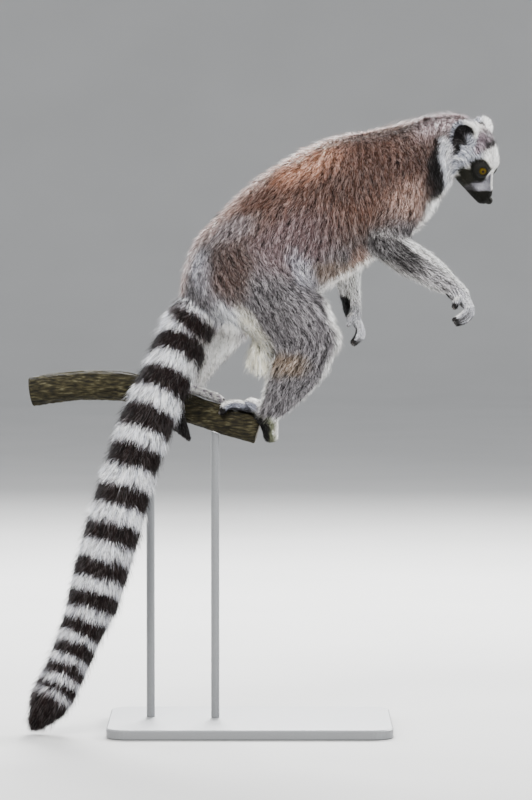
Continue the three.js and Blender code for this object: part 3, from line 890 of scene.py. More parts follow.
def body_marks(p, about, colour, grain):
    x, _, z = p.T
    shares, details = about["shares"], about["details"]
    ragged = waves(p, 26, 3)
    q = p + np.stack([ragged, ragged, waves(p, 26, 4)], 1) * 4
    for rgb, strength, *place in SPOTS:
        paint(colour, rgb, strength * spot(q, *place, soft=0.5))
    angle = np.abs(details["trunk"][:, 1])
    trunk_share = shares["trunk"]
    wide = 0.52 - 0.14 * smooth(0, 60, x) - 0.12 * smooth(140, 190, x)
    # Painted highlight: a pale band along the top of the back, where light from above and behind
    # falls
    rim = smooth(wide, 0.4 * wide, angle + 0.1 * ragged) * trunk_share
    paint(colour, PAINTED_RIM_LIGHT, 0.60 * rim)
    nape = smooth(180, 215, x) * smooth(0.95, 0.5, angle) * trunk_share
    paint(colour, NAPE, 0.9 * nape)
    paint(colour, MAUVE, 0.5 * nape * smooth(0.45, 0.2, angle))
    shade = spot(q, 204, 664, 26, 50, -7, soft=0.6) * trunk_share
    paint(colour, DARK_BROWN, 0.85 * shade * smooth(0.5, 0.9, angle))
    band = spot(q, 219, 662, 12, 50, -7, soft=0.35) * trunk_share
    paint(colour, BLACK, 0.95 * band * smooth(0.45, 0.8, angle))
    ruff = smooth(225, 230, q[:, 0]) * smooth(716, 706, q[:, 2]) * trunk_share
    paint(colour, (0.84, 0.85, 0.88), ruff)
    throat = smooth(196, 216, x) * smooth(650, 636, z) * trunk_share
    paint(colour, WHITE, throat * smooth(2.0, 2.4, angle))
    belly = smooth(2.6, 2.95, angle) * trunk_share
    paint(colour, WHITE, 0.85 * belly)
    grain -= 0.25 * belly + 0.1 * rim + 0.45 * band


def limb_marks(p, normals, about, colour, grain):
    x, _, z = p.T
    shares, details = about["shares"], about["details"]
    for region, share in shares.items():
        name = base_name(region)
        outward = normals[:, 1] * (LEFT if region.endswith("_L") else RIGHT)
        inner = smooth(-0.05, -0.6, outward)
        edge = smooth(0.5, 0.85, normals[:, 0])
        if name in ("thigh", "shank"):
            paint(colour, WHITE, share * inner)
            if name == "shank":
                edge = np.maximum(edge, smooth(-0.86, -0.99, normals[:, 0]))
            # Painted highlight: white along the forward edges of the knee and shank, and along the
            # back edges of the shank
            lit = edge * (1 if name == "shank" else smooth(55, 80, x))
            paint(colour, WHITE, share * lit)
            grain -= share * np.maximum(0.65 * inner, 0.35 * lit)
        elif name == "upper_arm":
            # Painted shade at the elbow: the low outer side of the upper arm darkened to charcoal
            dark = smooth(616, 590, z) * smooth(-0.2, 0.4, outward)
            paint(colour, CHARCOAL, 0.9 * share * dark)
            paint(colour, WHITE, 0.9 * share * inner)
        elif name == "forearm":
            paint(colour, (0.50, 0.49, 0.495), share)
            front = smooth(2.1, 2.7, np.abs(details[region][:, 1]))
            low = smooth(0.9, 0.3, np.abs(details[region][:, 1]))
            # Painted shade at the elbow: the forearm's upper end darkened to charcoal, except on
            # its white front
            elbow_shade = smooth(66, 30, details[region][:, 0])
            paint(colour, CHARCOAL, 0.72 * share * elbow_shade * (1 - front))
            paint(colour, WHITE, share * np.clip(front + 0.5 * low + 0.8 * inner, 0, 1))
        elif name in ("hand", "foot"):
            # Painted light over the fur and dark soles: white where the surface faces up is painted
            # highlight, and charcoal where it faces down, on the hands and right foot, is painted
            # shade
            paint(colour, (0.52, 0.53, 0.58) if name == "foot" else (0.72, 0.72, 0.74), share)
            paint(colour, WHITE, share * smooth(0.25, 0.7, normals[:, 2]))
            if region == "foot_L":
                knuckles = smooth(0.0, 0.35, waves(p, 8, 31)) * smooth(0.9, 0.6, normals[:, 2])
                paint(colour, WHITE, share)
                paint(colour, (0.47, 0.43, 0.48), 0.85 * share * knuckles)
            else:
                under = smooth(-0.25, -0.75, normals[:, 2])
                paint(colour, CHARCOAL, 0.7 * share * under)
            grain -= 0.45 * share


def groin_marks(p, colour, grain):
    """White hair along the underside of the right thigh and hanging from the groin."""
    right = smooth(5, -10, p[:, 1])
    under = spot(p, 3, 483, 36, 11, -61) * right
    hanging = spot(p, 8, 448, 18, 34, 0) * right
    paint(colour, (0.88, 0.86, 0.78), np.maximum(0.8 * under, hanging))
    grain -= 0.3 * np.maximum(under, hanging)


def tail_marks(p, about, colour, grain):
    share = about["shares"]["tail"]
    along, angle = about["details"]["tail"].T
    facing = np.cos(angle + math.pi / 2)
    place = along + 7 * facing + 2 * waves(p, 24, 8)
    ring = smooth(TAIL_TIP - 8, TAIL_TIP + 2, place)
    first = spot(p, -61, 491, 34, 12.5, -37, soft=0.3) * smooth(24, 8, p[:, 1])
    ring = np.maximum(ring, first)
    share = np.maximum(share, 0.6 * first)
    for middle, half in TAIL_RINGS:
        ring = np.maximum(ring, smooth(half + 3, half - 2, np.abs(place - middle)))
    base = np.tile(COOL_WHITE, (len(p), 1))
    warm = smooth(0.0, -0.9, np.cos(angle)) * smooth(150, 60, along)
    paint(base, WHITE, warm)
    paint(base, RING_BLACK, ring)
    colour += (base - colour) * smooth(0.15, 0.5, share)[:, None]
    grain += share * (1.2 * ring * (1 - ring) - 0.22)


def head_marks(p, about, colour, grain):
    shares = about["shares"]
    share = shares["head"] + shares["ear_R"] + shares["ear_L"]
    local = to_head(p)
    x, side_y, z = local.T
    y = np.abs(side_y)
    noise = waves(p, 9, 5)
    face = np.tile(WHITE, (len(p), 1))
    # The cheek is cool grey: pale grey-white fur, darkened further by painted shade
    cheek = smooth(-45, -52, x) * smooth(24, 16, z)
    paint(face, (0.58, 0.59, 0.63), cheek)
    low = 13.5 + 0.8 * np.clip(-60 - x, 0, 20)
    crown = smooth(-52.5, -56, x + 0.5 * noise) * smooth(-3, 1.5, z + 0.8 * noise - low)
    crown *= smooth(0.25, 0.6, shares["head"])
    paint(face, (0.46, 0.40, 0.43), 0.97 * crown)
    paint(face, NAPE, 0.85 * crown * smooth(-80, -90, x))
    front = smooth(5, 1, np.abs(x + 58)) * smooth(15, 19, z) * smooth(22, 14, y)
    paint(face, CHARCOAL, 0.8 * front)
    eye = np.hypot((x + 37.7) / 12.8, (z - 7.0 + 0.12 * (x + 38)) / 11.9)
    patch = smooth(1.10, 0.90, eye + 0.05 * noise) * smooth(9, 12.5, y)
    jaw = smooth(-46, -40, x) * smooth(-13, -17, z + 0.4 * noise)
    below = np.hypot((x + 37) / 13, (z + 10) / 9.5)
    jaw = np.maximum(jaw, smooth(1.15, 0.75, below + 0.15 * noise))
    paint(face, MASK_BLACK, 0.92 * jaw)
    snout = smooth(-31, -28, x)
    paint(face, (0.54, 0.535, 0.565), snout * (1 + 0.25 * waves(p, 7, 14)))
    toward = 0.88 * x - 0.47 * z
    under = smooth(-33.5, -29, x + noise) * smooth(-20, -23, toward) * smooth(3, -1, z)
    under = np.maximum(under, 0.8 * snout * smooth(-9, -14, z + noise))
    paint(face, CHARCOAL, 0.9 * under)
    bridge = smooth(4.2, 2.8, y) * smooth(0, 4, z) * smooth(-9, -14, x) * smooth(-56, -50, x)
    paint(face, WHITE, bridge)
    beside = smooth(3.8, 5.0, y) * smooth(8.5, 6.5, y) * smooth(-2, 2, z) * snout
    paint(face, BLACK, 0.2 * beside)
    muzzle = smooth(-12.6, -10.2, toward + 0.6 * noise)
    paint(face, MASK_BLACK, np.maximum(muzzle, patch))
    for ear in EARS:
        place = ear.local(p)
        ring = ear.ring(place)
        front, up = ear.side * place[:, 1] / EAR_WIDTH, place[:, 2] / ear.reach
        fringe = smooth(-0.1, 0.25, front) * smooth(0.05, -0.3, up)
        floor = EAR_HOLLOW - EAR_DEPTH * np.sqrt(np.maximum(1 - ring * ring, 0))
        # The charcoal inside the cup is dark hair, with painted shade deepening the hollow
        inside = smooth(0.80, 0.66, ring + 0.04 * waves(p, 6, 12)) * ear.near(p)
        inside *= smooth(-3.4, -2.0, place[:, 0] - floor)
        if ear.side == LEFT:
            inside *= smooth(0.55, 0.4, ring)
        paint(face, CHARCOAL, inside * (1 - 0.85 * fringe))
    strip = np.hypot(x - np.clip(x, -84, -69), z - 4 + 0.37 * (np.clip(x, -84, -69) + 84))
    strip = smooth(5.4, 3.8, strip) * smooth(18, 24, y)
    paint(face, BLACK, strip)
    gain = smooth(0.2, 0.6, share)
    colour += (face - colour) * gain[:, None]
    speckle = (0.12 + 0.5 * crown + 0.42 * cheek) * (1 - 0.9 * strip)
    grain += gain * (speckle - grain)


def gland_marks(p, colour):
    """Black glands of the wrists, the dark pads and tips of hands and feet, and painted shade
    between the fingers, on the hanging toes and on the sole by the branch's end.
    """
    x, y, z = p.T
    for place, reach in GLANDS:
        away = (p - np.array(place)) / reach
        paint(colour, BLACK, smooth(1.1, 0.85, norm(away)))
    heel = smooth(384, 378, z) * smooth(-5, 5, x) * smooth(0, -8, y)
    paint(colour, WHITE, heel)
    # Towards the branch's cut end the heel turns olive, then black: the sole's dark skin, with
    # painted shadow over it
    across = x + 2.5 * waves(p, 9, 32)
    paint(colour, (0.43, 0.44, 0.36), heel * smooth(33, 28, across))
    paint(colour, BLACK, heel * smooth(25, 21, across))
    for region, (_, digits) in GRIPS.items():
        for number, part in enumerate(digits):
            near = np.flatnonzero(part.near(p))
            q = p[near]
            m = part.measure(q)
            tip = smooth(part.length - 5, part.length - 2.5, m["along"])
            # Each digit is black on the side toward what it holds, its dark skin; on the fingers
            # the black reaches further round, as painted shade between them
            low = 0.25 if region in HAND_HOLLOWS and number < 4 else 0.72
            hold = hold_direction(q, HAND_HOLLOWS.get(region))
            dark = np.maximum(tip, smooth(low, low + 0.2, dot(part.outward(q), hold)))
            if region.endswith("L") and number == 4:
                dark = 0 * tip
            elif region == "foot_L":
                # The left toes are black where they hang below the branch's top: dark skin, with
                # painted shade
                dark = np.maximum(dark, smooth(410, 402, q[:, 2]))
            patch = colour[near]
            paint(patch, BLACK, 0.92 * smooth(1.8, 0.6, m["d"]) * dark)
            colour[near] = patch


def hold_direction(p, hollow):
    """From each point to what the hand or foot holds: a hollow or the branch."""
    if hollow:
        to = np.stack([hollow[0] - p[:, 0], 0 * p[:, 0], hollow[1] - p[:, 2]], 1)
    else:
        y, z, _ = branch_at(p[:, 0])
        to = np.stack([0 * y, y - p[:, 1], z - p[:, 2]], 1)
    return unit(to)


def markings(p, normals, about):
    """Linear colour and grizzle of the skin's vertices."""
    colour = np.tile(GREY, (len(p), 1))
    grain = np.full(len(p), 0.75)
    body_marks(p, about, colour, grain)
    limb_marks(p, normals, about, colour, grain)
    groin_marks(p, colour, grain)
    tail_marks(p, about, colour, grain)
    head_marks(p, about, colour, grain)
    gland_marks(p, colour)
    return np.clip(colour, 0, 1) ** 2.2, np.clip(grain, 0.1, 1)


# --- coat

def sample_roots(vertices, faces, normals, about, colour, grain):
    """Roots spread over the skin by the coat's density, with all that is known there."""
    area = norm(face_normals(vertices, faces)) / 2
    coat = about["coat"]
    share = area * coat[faces, 3].mean(1) * about["bare"][faces].mean(1)
    total = share.sum()
    count = int(total)
    at = (np.arange(count) + RNG.random(count)) * total / count
    face = np.minimum(np.searchsorted(np.cumsum(share), at), len(faces) - 1)
    r = np.sqrt(RNG.random(count))
    s = RNG.random(count)
    weight = np.stack([1 - r, r * (1 - s), r * s], 1)
    corners = faces[face]

    def mixed(values):
        return np.einsum("nk,nk...->n...", weight, values[corners])

    lead = corners[np.arange(count), weight.argmax(1)]
    return {
        "p": mixed(vertices), "normal": unit(mixed(normals)), "lie": mixed(about["lie"]),
        "coat": mixed(coat), "colour": mixed(colour), "grain": mixed(grain),
        "owner": about["owner"][lead],
    }


def clump_centres(roots):
    """For each root, the root that its clump leans to and the clump's number."""
    p, normal, coat = roots["p"], roots["normal"], roots["coat"]
    chance = 1 / np.maximum(coat[:, 3] * math.pi * coat[:, 4] ** 2, 1)
    heads = np.flatnonzero(RNG.random(len(p)) < chance)
    tree = kdtree.KDTree(len(heads))
    sided_p = p + normal * 6
    for n, head in enumerate(heads):
        tree.insert(sided_p[head], n)
    tree.balance()
    nearest = np.array([tree.find(one)[1] for one in sided_p.tolist()])
    return heads[nearest], nearest, len(heads)


def turned(v, axis, angle):
    """Vectors turned about unit axes by angles."""
    c, s = np.cos(angle)[:, None], np.sin(angle)[:, None]
    return v * c + np.cross(axis, v) * s + axis * dot(axis, v)[:, None] * (1 - c)


def tuft_shapes(roots):
    """Four points for each tuft, and its shading normals."""
    p, normal = roots["p"], roots["normal"]
    length, width, lift, _, clump = roots["coat"].T
    count = len(p)
    head, clump_number, clumps = clump_centres(roots)
    lie = unit(roots["lie"] - normal * dot(roots["lie"], normal)[:, None])
    clump_turn = RNG.normal(0, 0.16, clumps)[clump_number]
    sway = 0.22 * waves(p, 34, 21) + clump_turn + RNG.normal(0, 0.13, count)
    lie = turned(lie, normal, sway)
    length = length * (0.72 + 0.5 * RNG.random(count))
    length *= (1 + RNG.normal(0, 0.10, clumps))[clump_number]
    lift = np.radians(lift) * (0.75 + 0.5 * RNG.random(count))
    stray = RNG.random(count) < 0.11
    lift[stray] *= 1.7
    length[stray] *= 1.3
    width = np.where(stray, 0.6 * width, width)
    lean = p[head] - p
    lean -= normal * dot(lean, normal)[:, None]
    lean /= np.maximum(norm(lean) / clump, 1)[:, None]

    def half_way(angle):
        rising = lie * np.cos(angle)[:, None] + normal * np.sin(angle)[:, None]
        return rising * length[:, None] * 0.5

    middle = p + half_way(lift) + lean * 0.25
    tip = middle + half_way(lift * 0.55) + lean * 0.45
    tip[:, 2] -= np.maximum(length - 8, 0) * 0.06
    for points in (middle, tip):
        points[:, 2] = np.maximum(points[:, 2], 1.0)
    across = turned(np.cross(lie, normal), lie, RNG.normal(0, 0.4, count))
    wide = (width * (0.7 + 0.6 * RNG.random(count)))[:, None] / 2
    root = p - normal * 0.4
    points = np.stack([root, middle - across * wide, middle + across * wide, tip], 1)
    face = unit(np.cross(across, tip - root))
    face *= np.sign(dot(face, normal))[:, None]
    shade = unit(0.62 * normal + 0.38 * face)
    tilt = across * 0.45
    normals = np.stack([shade, unit(shade - tilt), unit(shade + tilt),
                        unit(shade + lie * 0.15)], 1)
    return points, normals


def streaks(p, lie, across, sizes, reach, seed):
    """Even noise of about unit spread, drawn out along the lie of the coat."""
    source = np.random.default_rng(seed)
    total, power = np.zeros(len(p)), np.full(len(p), 1e-6)
    for _ in range(130):
        k = source.normal(size=3)
        k /= np.linalg.norm(k)
        sideways = (across @ k) ** 2
        k *= 2 * math.pi / source.uniform(*sizes)
        share = sideways * np.exp(-0.5 * (lie @ k * reach) ** 2)
        total += share * np.sin(p @ k + source.uniform(0, 2 * math.pi))
        power += share ** 2 / 2
    return total / np.sqrt(power)


def tuft_colours(roots):
    """Root to tip shades: dark underneath, banded where the coat is grizzled."""
    grain, lie = roots["grain"], unit(roots["lie"])
    count = len(grain)
    across = unit(np.cross(lie, roots["normal"]))
    length = roots["coat"][:, 0]
    fine = streaks(roots["p"], lie, across, (1.5, 3.0), 0.22 * length, 41)
    broad = streaks(roots["p"], lie, across, (5, 12), 0.7 * length, 42)
    tone = np.exp(0.16 * broad * (0.3 + grain) + RNG.normal(0, 0.12, count) * (0.6 + grain))
    base = roots["colour"] * tone[:, None]
    pick = 1 / (1 + np.exp(-1.5 * (fine + 0.25 * broad + RNG.normal(0, 0.45, count))))
    dark = (pick < 0.42 * grain)[:, None]
    light = (pick > 1 - 0.36 * grain)[:, None]
    base = np.where(dark, base * 0.13, base)
    pale = 0.65 * base + 0.35 * base.mean(1, keepdims=True)
    base = np.where(light, pale * 2.5 + 0.03, base)
    shades = np.stack([base * 0.5, base * 0.95, base * 0.95, base * 1.2], 1)
    return np.clip(shades, 0, 0.93)


def chart_places(roots):
    """Each root's place on an unrolled chart of its part: round it and along it."""
    owner = roots["owner"]
    place = np.zeros((len(owner), 2))
    for number in np.unique(owner):
        mine = owner == number
        m = PARTS[number].measure(roots["p"][mine])
        place[mine, 0] = (m["angle"] / math.pi + 1) / 2
        place[mine, 1] = np.clip(m["along"] / PARTS[number].length, 0, 1)
    return place


PATCH = 0.003  # size of a tuft's patch on the chart
PIECE_TUFTS = 95000  # the most that one piece holds
PIECE_OF = {
    "thigh": "legs", "shank": "legs", "fringe": "legs", "upper_arm": "arms", "forearm": "arms",
    "hand": "hands_and_feet", "foot": "hands_and_feet", "ear": "head",
}


def coat_pieces(skin):
    """The coat in pieces of whole parts, or of slices along a part with many tufts."""
    roots = sample_roots(*skin)
    points, normals = tuft_shapes(roots)
    shades = tuft_colours(roots)
    places = chart_places(roots)
    owner = roots["owner"]
    groups = {}
    for number, part in enumerate(PARTS):
        region = base_name(part.region)
        groups.setdefault(PIECE_OF.get(region, region), []).append(number)
    made = []
    for name, numbers in groups.items():
        mine = np.flatnonzero(np.isin(owner, numbers))
        slices = math.ceil(len(mine) / PIECE_TUFTS)
        order = mine[np.lexsort([places[mine, 1], owner[mine]])]
        for n, part in enumerate(np.array_split(order, slices)):
            label = f"coat_{name}" if slices == 1 else f"coat_{name}_{n + 1}"
            uv = packed_charts(places[part], owner[part])
            made.append(tuft_mesh(label, points[part], normals[part], shades[part], uv))
    return made


def packed_charts(place, owner):
    """The parts' charts side by side, each as wide as its share of the tufts."""
    uv = np.zeros_like(place)
    start = 0.0
    for number in np.unique(owner):
        mine = owner == number
        wide = mine.mean()
        low, high = place[mine, 1].min(), place[mine, 1].max()
        uv[mine, 0] = start + wide * (0.02 + 0.96 * place[mine, 0])
        uv[mine, 1] = 0.01 + 0.98 * (place[mine, 1] - low) / max(high - low, 1e-6)
        start += wide
    return np.clip(uv, PATCH, 1 - PATCH)


PATCH_CORNERS = np.array([[0, -0.5], [-0.5, 0], [0.5, 0], [0, 0.5]])
TUFT_FACES = np.array([[0, 2, 1], [1, 2, 3]])


def tuft_mesh(name, points, normals, shades, uv):
    count = len(points)
    faces = (TUFT_FACES[None] + 4 * np.arange(count)[:, None, None]).reshape(-1, 3)
    piece = make_mesh(name, points.reshape(-1, 3), faces, shades.reshape(-1, 3))
    mesh = piece.data
    corner_uv = (uv[:, None, :] + PATCH_CORNERS[None] * PATCH).reshape(-1, 2)
    layer = mesh.uv_layers.new(name="OFBake")
    layer.data.foreach_set("uv", corner_uv[faces.ravel()].astype(np.float32).ravel())
    mesh.normals_split_custom_set_from_vertices(normals.reshape(-1, 3).astype(np.float32))
    return piece


def make_mesh(name, vertices, faces, colours=None):
    """An object of triangles, given in millimetres, with its colours at the vertices."""
    mesh = bpy.data.meshes.new(name)
    mesh.vertices.add(len(vertices))
    mesh.vertices.foreach_set("co", (vertices * MM).astype(np.float32).ravel())
    mesh.loops.add(faces.size)
    mesh.loops.foreach_set("vertex_index", faces.astype(np.int32).ravel())
    mesh.polygons.add(len(faces))
    mesh.polygons.foreach_set("loop_start", np.arange(0, faces.size, 3, dtype=np.int32))
    mesh.update(calc_edges=True)
    mesh.validate()
    mesh.shade_smooth()
    if colours is not None:
        layer = mesh.color_attributes.new("Shade", "FLOAT_COLOR", "POINT")
        rgba = np.insert(colours, 3, 1, axis=1).astype(np.float32)
        layer.data.foreach_set("color", rgba.ravel())
    return linked(name, mesh)


def linked(name, data):
    item = bpy.data.objects.new(name, data)
    bpy.context.scene.collection.objects.link(item)
    return item


# --- materials

class Look:
    """A procedural material, built up node by node."""

    def __init__(self, name, roughness, specular=None, metallic=0.0):
        self.made = bpy.data.materials.new(name)
        self.made.use_nodes = True
        self.tree = self.made.node_tree
        self.shader = self.tree.nodes["Principled BSDF"]
        self.shader.inputs["Roughness"].default_value = roughness
        self.shader.inputs["Metallic"].default_value = metallic
        if specular is not None:
            self.shader.inputs["Specular IOR Level"].default_value = specular

    def node(self, kind, linked_inputs, **values):
        """A node of a kind, with its inputs linked or set."""
        node = self.tree.nodes.new(f"ShaderNode{kind}")
        for name, value in values.items():
            node.inputs[name].default_value = value
        for name, value in linked_inputs.items():
            self.tree.links.new(value, node.inputs[name])
        return node

    def noise(self, scale, detail=3.0, stretch=(1, 1, 1)):
        """A noise texture in the object's own metres."""
        where = self.node("TexCoord", {}).outputs["Object"]
        if stretch != (1, 1, 1):
            where = self.node("Mapping", {"Vector": where}, Scale=stretch).outputs["Vector"]
        return self.node("TexNoise", {"Vector": where}, Scale=scale, Detail=detail).outputs["Fac"]

    def ramp(self, value, *stops):
        node = self.node("ValToRGB", {"Fac": value})
        ends = node.color_ramp.elements
        while len(ends) < len(stops):
            ends.new(0.5)
        for element, (at, rgb) in zip(ends, stops):
            element.position = at
            element.color = (*rgb, 1)
        return node.outputs["Color"]

    def multiplied(self, a, b, share):
        node = self.node("Mix", {})
        node.data_type = "RGBA"
        node.blend_type = "MULTIPLY"
        node.inputs[0].default_value = share
        self.tree.links.new(a, node.inputs[6])
        self.tree.links.new(b, node.inputs[7])
        return node.outputs[2]

    def colour(self, value):
        self.tree.links.new(value, self.shader.inputs["Base Color"])
        return self

    def bump(self, value, distance, strength=1.0):
        node = self.node("Bump", {"Height": value}, Distance=distance, Strength=strength)
        self.tree.links.new(node.outputs["Normal"], self.shader.inputs["Normal"])

    def shaded_by_vertices(self, scale, share):
        """The mesh's own colours, mottled by noise."""
        colour = self.node("Attribute", {})
        colour.attribute_name = "Shade"
        mottle = self.ramp(self.noise(scale), (0.3, (0.7, 0.7, 0.7)), (0.7, (1, 1, 1)))
        return self.colour(self.multiplied(colour.outputs["Color"], mottle, share))


def dress(piece, slot, replaced, *looks):
    """Gives a piece its body and materials, and hides the CAD nodes that it replaces; the slot is
    not used.
    """
    piece.data.materials.clear()
    for look in looks:
        piece.data.materials.append(look.made)
    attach(piece, "root")
    if replaced:
        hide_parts(*replaced)


# --- turned and bent shapes

def sphere(polar, sides):
    """Points of a unit ball, ring by ring round its last axis."""
    turn = np.linspace(0, 2 * math.pi, sides, endpoint=False)
    polar = polar[:, None]
    across, ahead = np.sin(polar) * np.cos(turn), np.sin(polar) * np.sin(turn)
    return np.stack([across, ahead, np.cos(polar) + 0 * turn], -1).reshape(-1, 3)


def tube(rings, sides):
    """Triangles between rings of vertices that follow each other."""
    row, s = np.divmod(np.arange((rings - 1) * sides), sides)
    a, t = row * sides, (s + 1) % sides
    return halved(np.stack([a + s, a + sides + s, a + sides + t, a + t], 1))


def closed_tube(rings, sides):
    """The same, between a first and a last vertex that close its ends."""
    s = np.arange(sides)
    t, last = (s + 1) % sides, 1 + (rings - 1) * sides
    first_fan = np.stack([0 * s, 1 + s, 1 + t], 1)
    last_fan = np.stack([last + s, 0 * s + last + sides, last + t], 1)
    return np.concatenate([first_fan, 1 + tube(rings, sides), last_fan])


def eye_piece(side):
    """An eyeball with its pole along the look: pupil, iris and a dark rim round it."""
    look = unit(sided(side, EYE_LOOK))
    across = unit(np.cross([0, 0, 1.0], look))
    axes = np.array([across, np.cross(look, across), look])
    rings, sides = 43, 56
    polar = np.linspace(0, math.pi, rings + 2)
    bulge = 1 + 0.05 * smooth(0.75, 0.2, polar)
    middle = sphere(polar[1:-1], sides) * np.repeat(bulge[1:-1], sides)[:, None]
    local = np.vstack([[0, 0, bulge[0]], middle, [0, 0, -1.0]]) * (EYE_RADIUS - 0.15)
    away = np.degrees(np.arctan2(np.hypot(local[:, 0], local[:, 1]), local[:, 2]))
    angle = np.arctan2(local[:, 1], local[:, 0])
    streak = 0.82 + 0.18 * np.sin(angle * 17 + 2 * np.sin(angle * 5)) * np.sin(angle * 31)
    iris = np.array([0.060, 0.040, 0.004]) * streak[:, None]
    iris = iris * (1.25 - 0.75 * smooth(16, 34, away))[:, None]
    dark = np.array([0.012, 0.008, 0.006])
    colour = dark + (iris - dark) * smooth(9.5, 12, away)[:, None]
    colour += (np.array([0.03, 0.018, 0.012]) - colour) * smooth(33, 38, away)[:, None]
    world = from_head(local @ axes + sided(side, EYE))
    return make_mesh(f"eyeball_{'R' if side == RIGHT else 'L'}", world,
                     closed_tube(rings, sides), colour)


def claw_mesh():
    """A blunt nail over the end of every finger and toe."""
    rings, sides = 9, 12
    shape = sphere(np.linspace(0, math.pi, rings), sides)[:, [2, 0, 1]]
    vertices, faces = [], []
    for _, digits in GRIPS.values():
        for part in digits:
            end = part.c[-1]
            along = unit(end - part.c[-3])
            bend = part.c[len(part.c) // 2] - (part.c[0] + end) / 2
            back = bend - along * bend.dot(along)
            back = unit(back if np.linalg.norm(back) > 0.2 else np.array([1.0, 0, 0.3]))
            axes = np.array([along, np.cross(back, along), back])
            r = part.half[-1, 0]
            faces.append(tube(rings, sides) + len(vertices) * len(shape))
            vertices.append(end + r * np.array([0.45, 0, 0.55]) @ axes
                            + shape * (r * np.array([0.85, 0.62, 0.42])) @ axes)
    return make_mesh("nails", np.concatenate(vertices), np.concatenate(faces))


def branch_mesh():
    """The cut branch, its bark furrowed along it, with flat cut ends."""
    rows = spline(BRANCH, 30)
    centres, radius = rows[:, :3], rows[:, 3]
    along = unit(np.gradient(centres, axis=0))
    up = unit(np.cross([0, 1.0, 0], along))
    side = np.cross(along, up)
    count, sides = len(centres), 120
    run = np.concatenate([[0], np.cumsum(norm(np.diff(centres, axis=0)))])
    ring = np.repeat(np.arange(count), sides)
    turn = np.tile(np.linspace(0, 2 * math.pi, sides, endpoint=False), count)
    chart = np.stack([np.cos(turn) * 18, np.sin(turn) * 18, run[ring] * 0.22], 1)
    furrow = np.abs(waves(chart, 9, 31)) ** 0.6 * 1.5
    lumps = waves(chart * [1, 1, 3], 30, 32)
    cut_edge = (ring == 0) | (ring == count - 1)
    reach = radius[ring] - 0.9 - furrow * 0.9 + 0.9 * lumps - 1.2 * cut_edge
    outward = up[ring] * np.cos(turn)[:, None] + side[ring] * np.sin(turn)[:, None]
    body = (centres[ring] + outward * reach[:, None]).reshape(count, sides, 3)
    first, last = centres[0], centres[-1]
    shares = np.array([0.25, 0.5, 0.75])[:, None, None]
    rings = np.concatenate([first + (body[0] - first) * shares, body,
                            last + (body[-1] - last) * shares[::-1]])
    faces = closed_tube(len(rings), sides)[:, ::-1]  # the rings turn the other way here
    vertices = np.vstack([first, rings.reshape(-1, 3), last])
    piece = make_mesh("branch_bark", vertices, faces)
    in_body = (faces > 3 * sides) & (faces <= (3 + count) * sides)
    index = np.where(in_body.all(1), 0, 1).astype(np.int32)
    bark, cut = branch_looks()
    dress(piece, "bark", ["perch_branch"], bark, cut)
    piece.data.polygons.foreach_set("material_index", index)


def branch_looks():
    bark = Look("bark", 0.88, 0.2)
    grain = bark.noise(420, 9, (0.22, 1, 1))
    tone = bark.ramp(grain, (0.34, (0.004, 0.0034, 0.0016)), (0.50, (0.018, 0.015, 0.007)),
                     (0.60, (0.036, 0.031, 0.016)), (0.76, (0.10, 0.092, 0.062)))
    patches = bark.ramp(bark.noise(26, 6, (0.5, 1, 1)), (0.36, (0.42, 0.40, 0.28)),
                        (0.62, (1.1, 1.1, 0.95)))
    bark.colour(bark.multiplied(tone, patches, 0.9))
    bark.bump(grain, 0.0012)
    # The cut end is near black: painted shadow over the end grain
    cut = Look("cut_wood_in_painted_shadow", 0.8)
    rings = cut.noise(130, 4)
    cut.colour(cut.ramp(rings, (0.3, (0.01, 0.008, 0.004)), (0.7, (0.05, 0.04, 0.02))))
    cut.bump(rings, 0.0006)
    return bark, cut


# --- stage

STAGE_MIDDLE = (0.0, 0.0, 0.45)
LIGHTS = [  # name, place, size, power, colour, in metres and watts
    ("key", (-0.9, -2.2, 2.6), 1.5, 200, (1, 0.985, 0.96)),
    ("fill", (2.4, -1.9, 1.2), 2.0, 70, (0.95, 0.97, 1)),
    ("top", (0.1, 2.2, 2.1), 1.3, 340, (1, 1, 1)),
    ("back", (-2.2, 1.8, 1.4), 1.6, 110, (0.95, 0.97, 1)),
    ("edge", (2.0, 1.7, 1.7), 1.2, 190, (1, 0.99, 0.97)),
]
CAMERA_PLACE = (0.0192, -5.333, 0.696)
CAMERA_TARGET = (0.0192, 0, 0.396)


def look_at(item, target):
    direction = Vector(target) - item.location
    item.rotation_euler = direction.to_track_quat("-Z", "Y").to_euler()


def stage():
    """A round floor that bends up far behind everything, a pale world and five lights."""
    bend = np.linspace(0, math.pi / 2, 13)
    radius = np.concatenate([[0], 7 + 3 * np.sin(bend), [10]]) / MM
    height = np.concatenate([[0], 3 - 3 * np.cos(bend), [5]]) / MM
    sides = 96
    turn = np.linspace(0, 2 * math.pi, sides, endpoint=False)
    rings = np.stack([np.outer(radius, np.cos(turn)), np.outer(radius, np.sin(turn)),
                      np.outer(height, np.ones(sides))], -1)
    floor = make_mesh("floor", rings.reshape(-1, 3), tube(len(radius), sides))
    paper = Look("floor_paper", 0.95)
    paper.colour(paper.ramp(paper.noise(3, 2), (0.2, (0.38, 0.38, 0.375)),
                            (0.8, (0.41, 0.41, 0.405))))
    floor.data.materials.append(paper.made)
    world = bpy.data.worlds.new("studio")
    world.use_nodes = True
    background = world.node_tree.nodes["Background"]
    background.inputs["Color"].default_value = (0.86, 0.88, 0.92, 1)
    background.inputs["Strength"].default_value = 1.25
    bpy.context.scene.world = world
    for name, place, size, power, colour in LIGHTS:
        data = bpy.data.lights.new(name, "AREA")
        data.shape = "DISK"
        data.size = size
        data.energy = power
        data.color = colour
        item = linked(name, data)
        item.location = place
        look_at(item, STAGE_MIDDLE)


def camera():
    data = bpy.data.cameras.new("camera")
    data.sensor_fit = "VERTICAL"
    data.sensor_height = 36
    data.lens = 200.3
    data.clip_end = 100
    item = linked("camera", data)
    item.location = CAMERA_PLACE
    look_at(item, CAMERA_TARGET)
    bpy.context.scene.camera = item


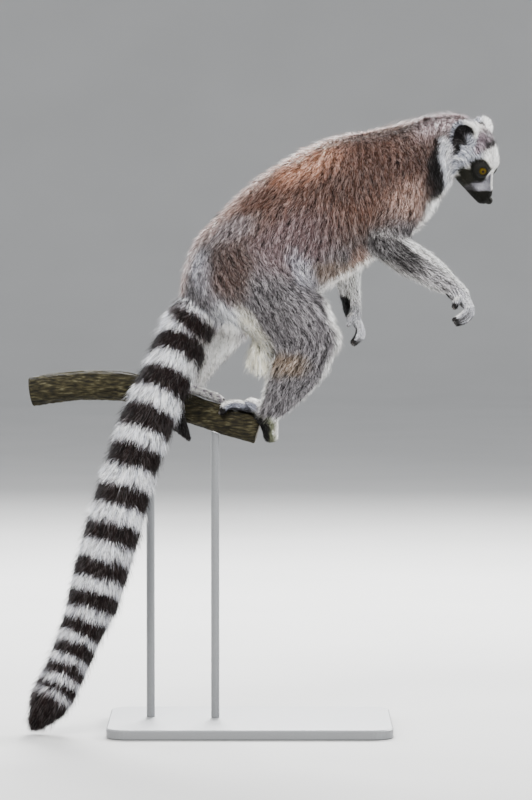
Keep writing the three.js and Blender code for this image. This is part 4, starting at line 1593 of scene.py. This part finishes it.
# --- assembly

def bareness(p):
    """0 where no tuft grows, round the eyes and on the nose, and 1 elsewhere."""
    local = to_head(p)
    keep = np.ones(len(p))
    for side in (RIGHT, LEFT):
        keep *= smooth(10.6, 11.6, norm(local - sided(side, EYE)))
    leather = norm((local - [-1.5, 0, -5]) / [4.5, 8, 6])
    return keep * smooth(0.9, 1.15, leather)


def build_lemur():
    vertices, faces = build_skin()
    normals = vertex_normals(vertices, faces)
    about = describe(vertices)
    about["bare"] = bareness(vertices)
    colour, grain = markings(vertices, normals, about)
    under = 1 - 0.35 * about["bare"]
    skin = make_mesh("skin", vertices, faces, colour * under[:, None])
    coat = Look("skin_coat", 0.75, 0.2).shaded_by_vertices(900, 0.6)
    coat.bump(coat.noise(1400, 4), 0.0006, 0.7)
    flesh = [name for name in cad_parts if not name.startswith(("eye_", "stand_", "perch_"))]
    dress(skin, "coat", flesh, coat)
    fur = Look("fur", 0.62, 0.12).shaded_by_vertices(260, 0.35)
    for piece in coat_pieces((vertices, faces, normals, about, colour, grain)):
        dress(piece, "coat", [], fur)


def build_rest():
    """Eyes, nails, branch and the stand's paint."""
    glossy = Look("eyeball", 0.1, 0.03).shaded_by_vertices(2500, 0.5)
    dress(eye_piece(RIGHT), "eye", ["eye_R"], glossy)
    dress(eye_piece(LEFT), "eye", ["eye_L"], glossy)
    horn = Look("nail", 0.45)
    horn.colour(horn.ramp(horn.noise(900), (0.3, (0.02, 0.017, 0.016)), (0.7, (0.07, 0.06, 0.055))))
    dress(claw_mesh(), "claw", [], horn)
    branch_mesh()
    steel = Look("stand_paint", 0.5, metallic=0.3)
    speck = steel.noise(1200, 3)
    steel.colour(steel.ramp(speck, (0.3, (0.16, 0.165, 0.17)), (0.7, (0.21, 0.215, 0.22))))
    steel.bump(speck, 0.0002, 0.4)
    for name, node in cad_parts.items():
        if name.startswith("stand_"):
            node.data.materials.clear()
            node.data.materials.append(steel.made)


def main():
    build_rest()
    build_lemur()
    stage()
    camera()


main()
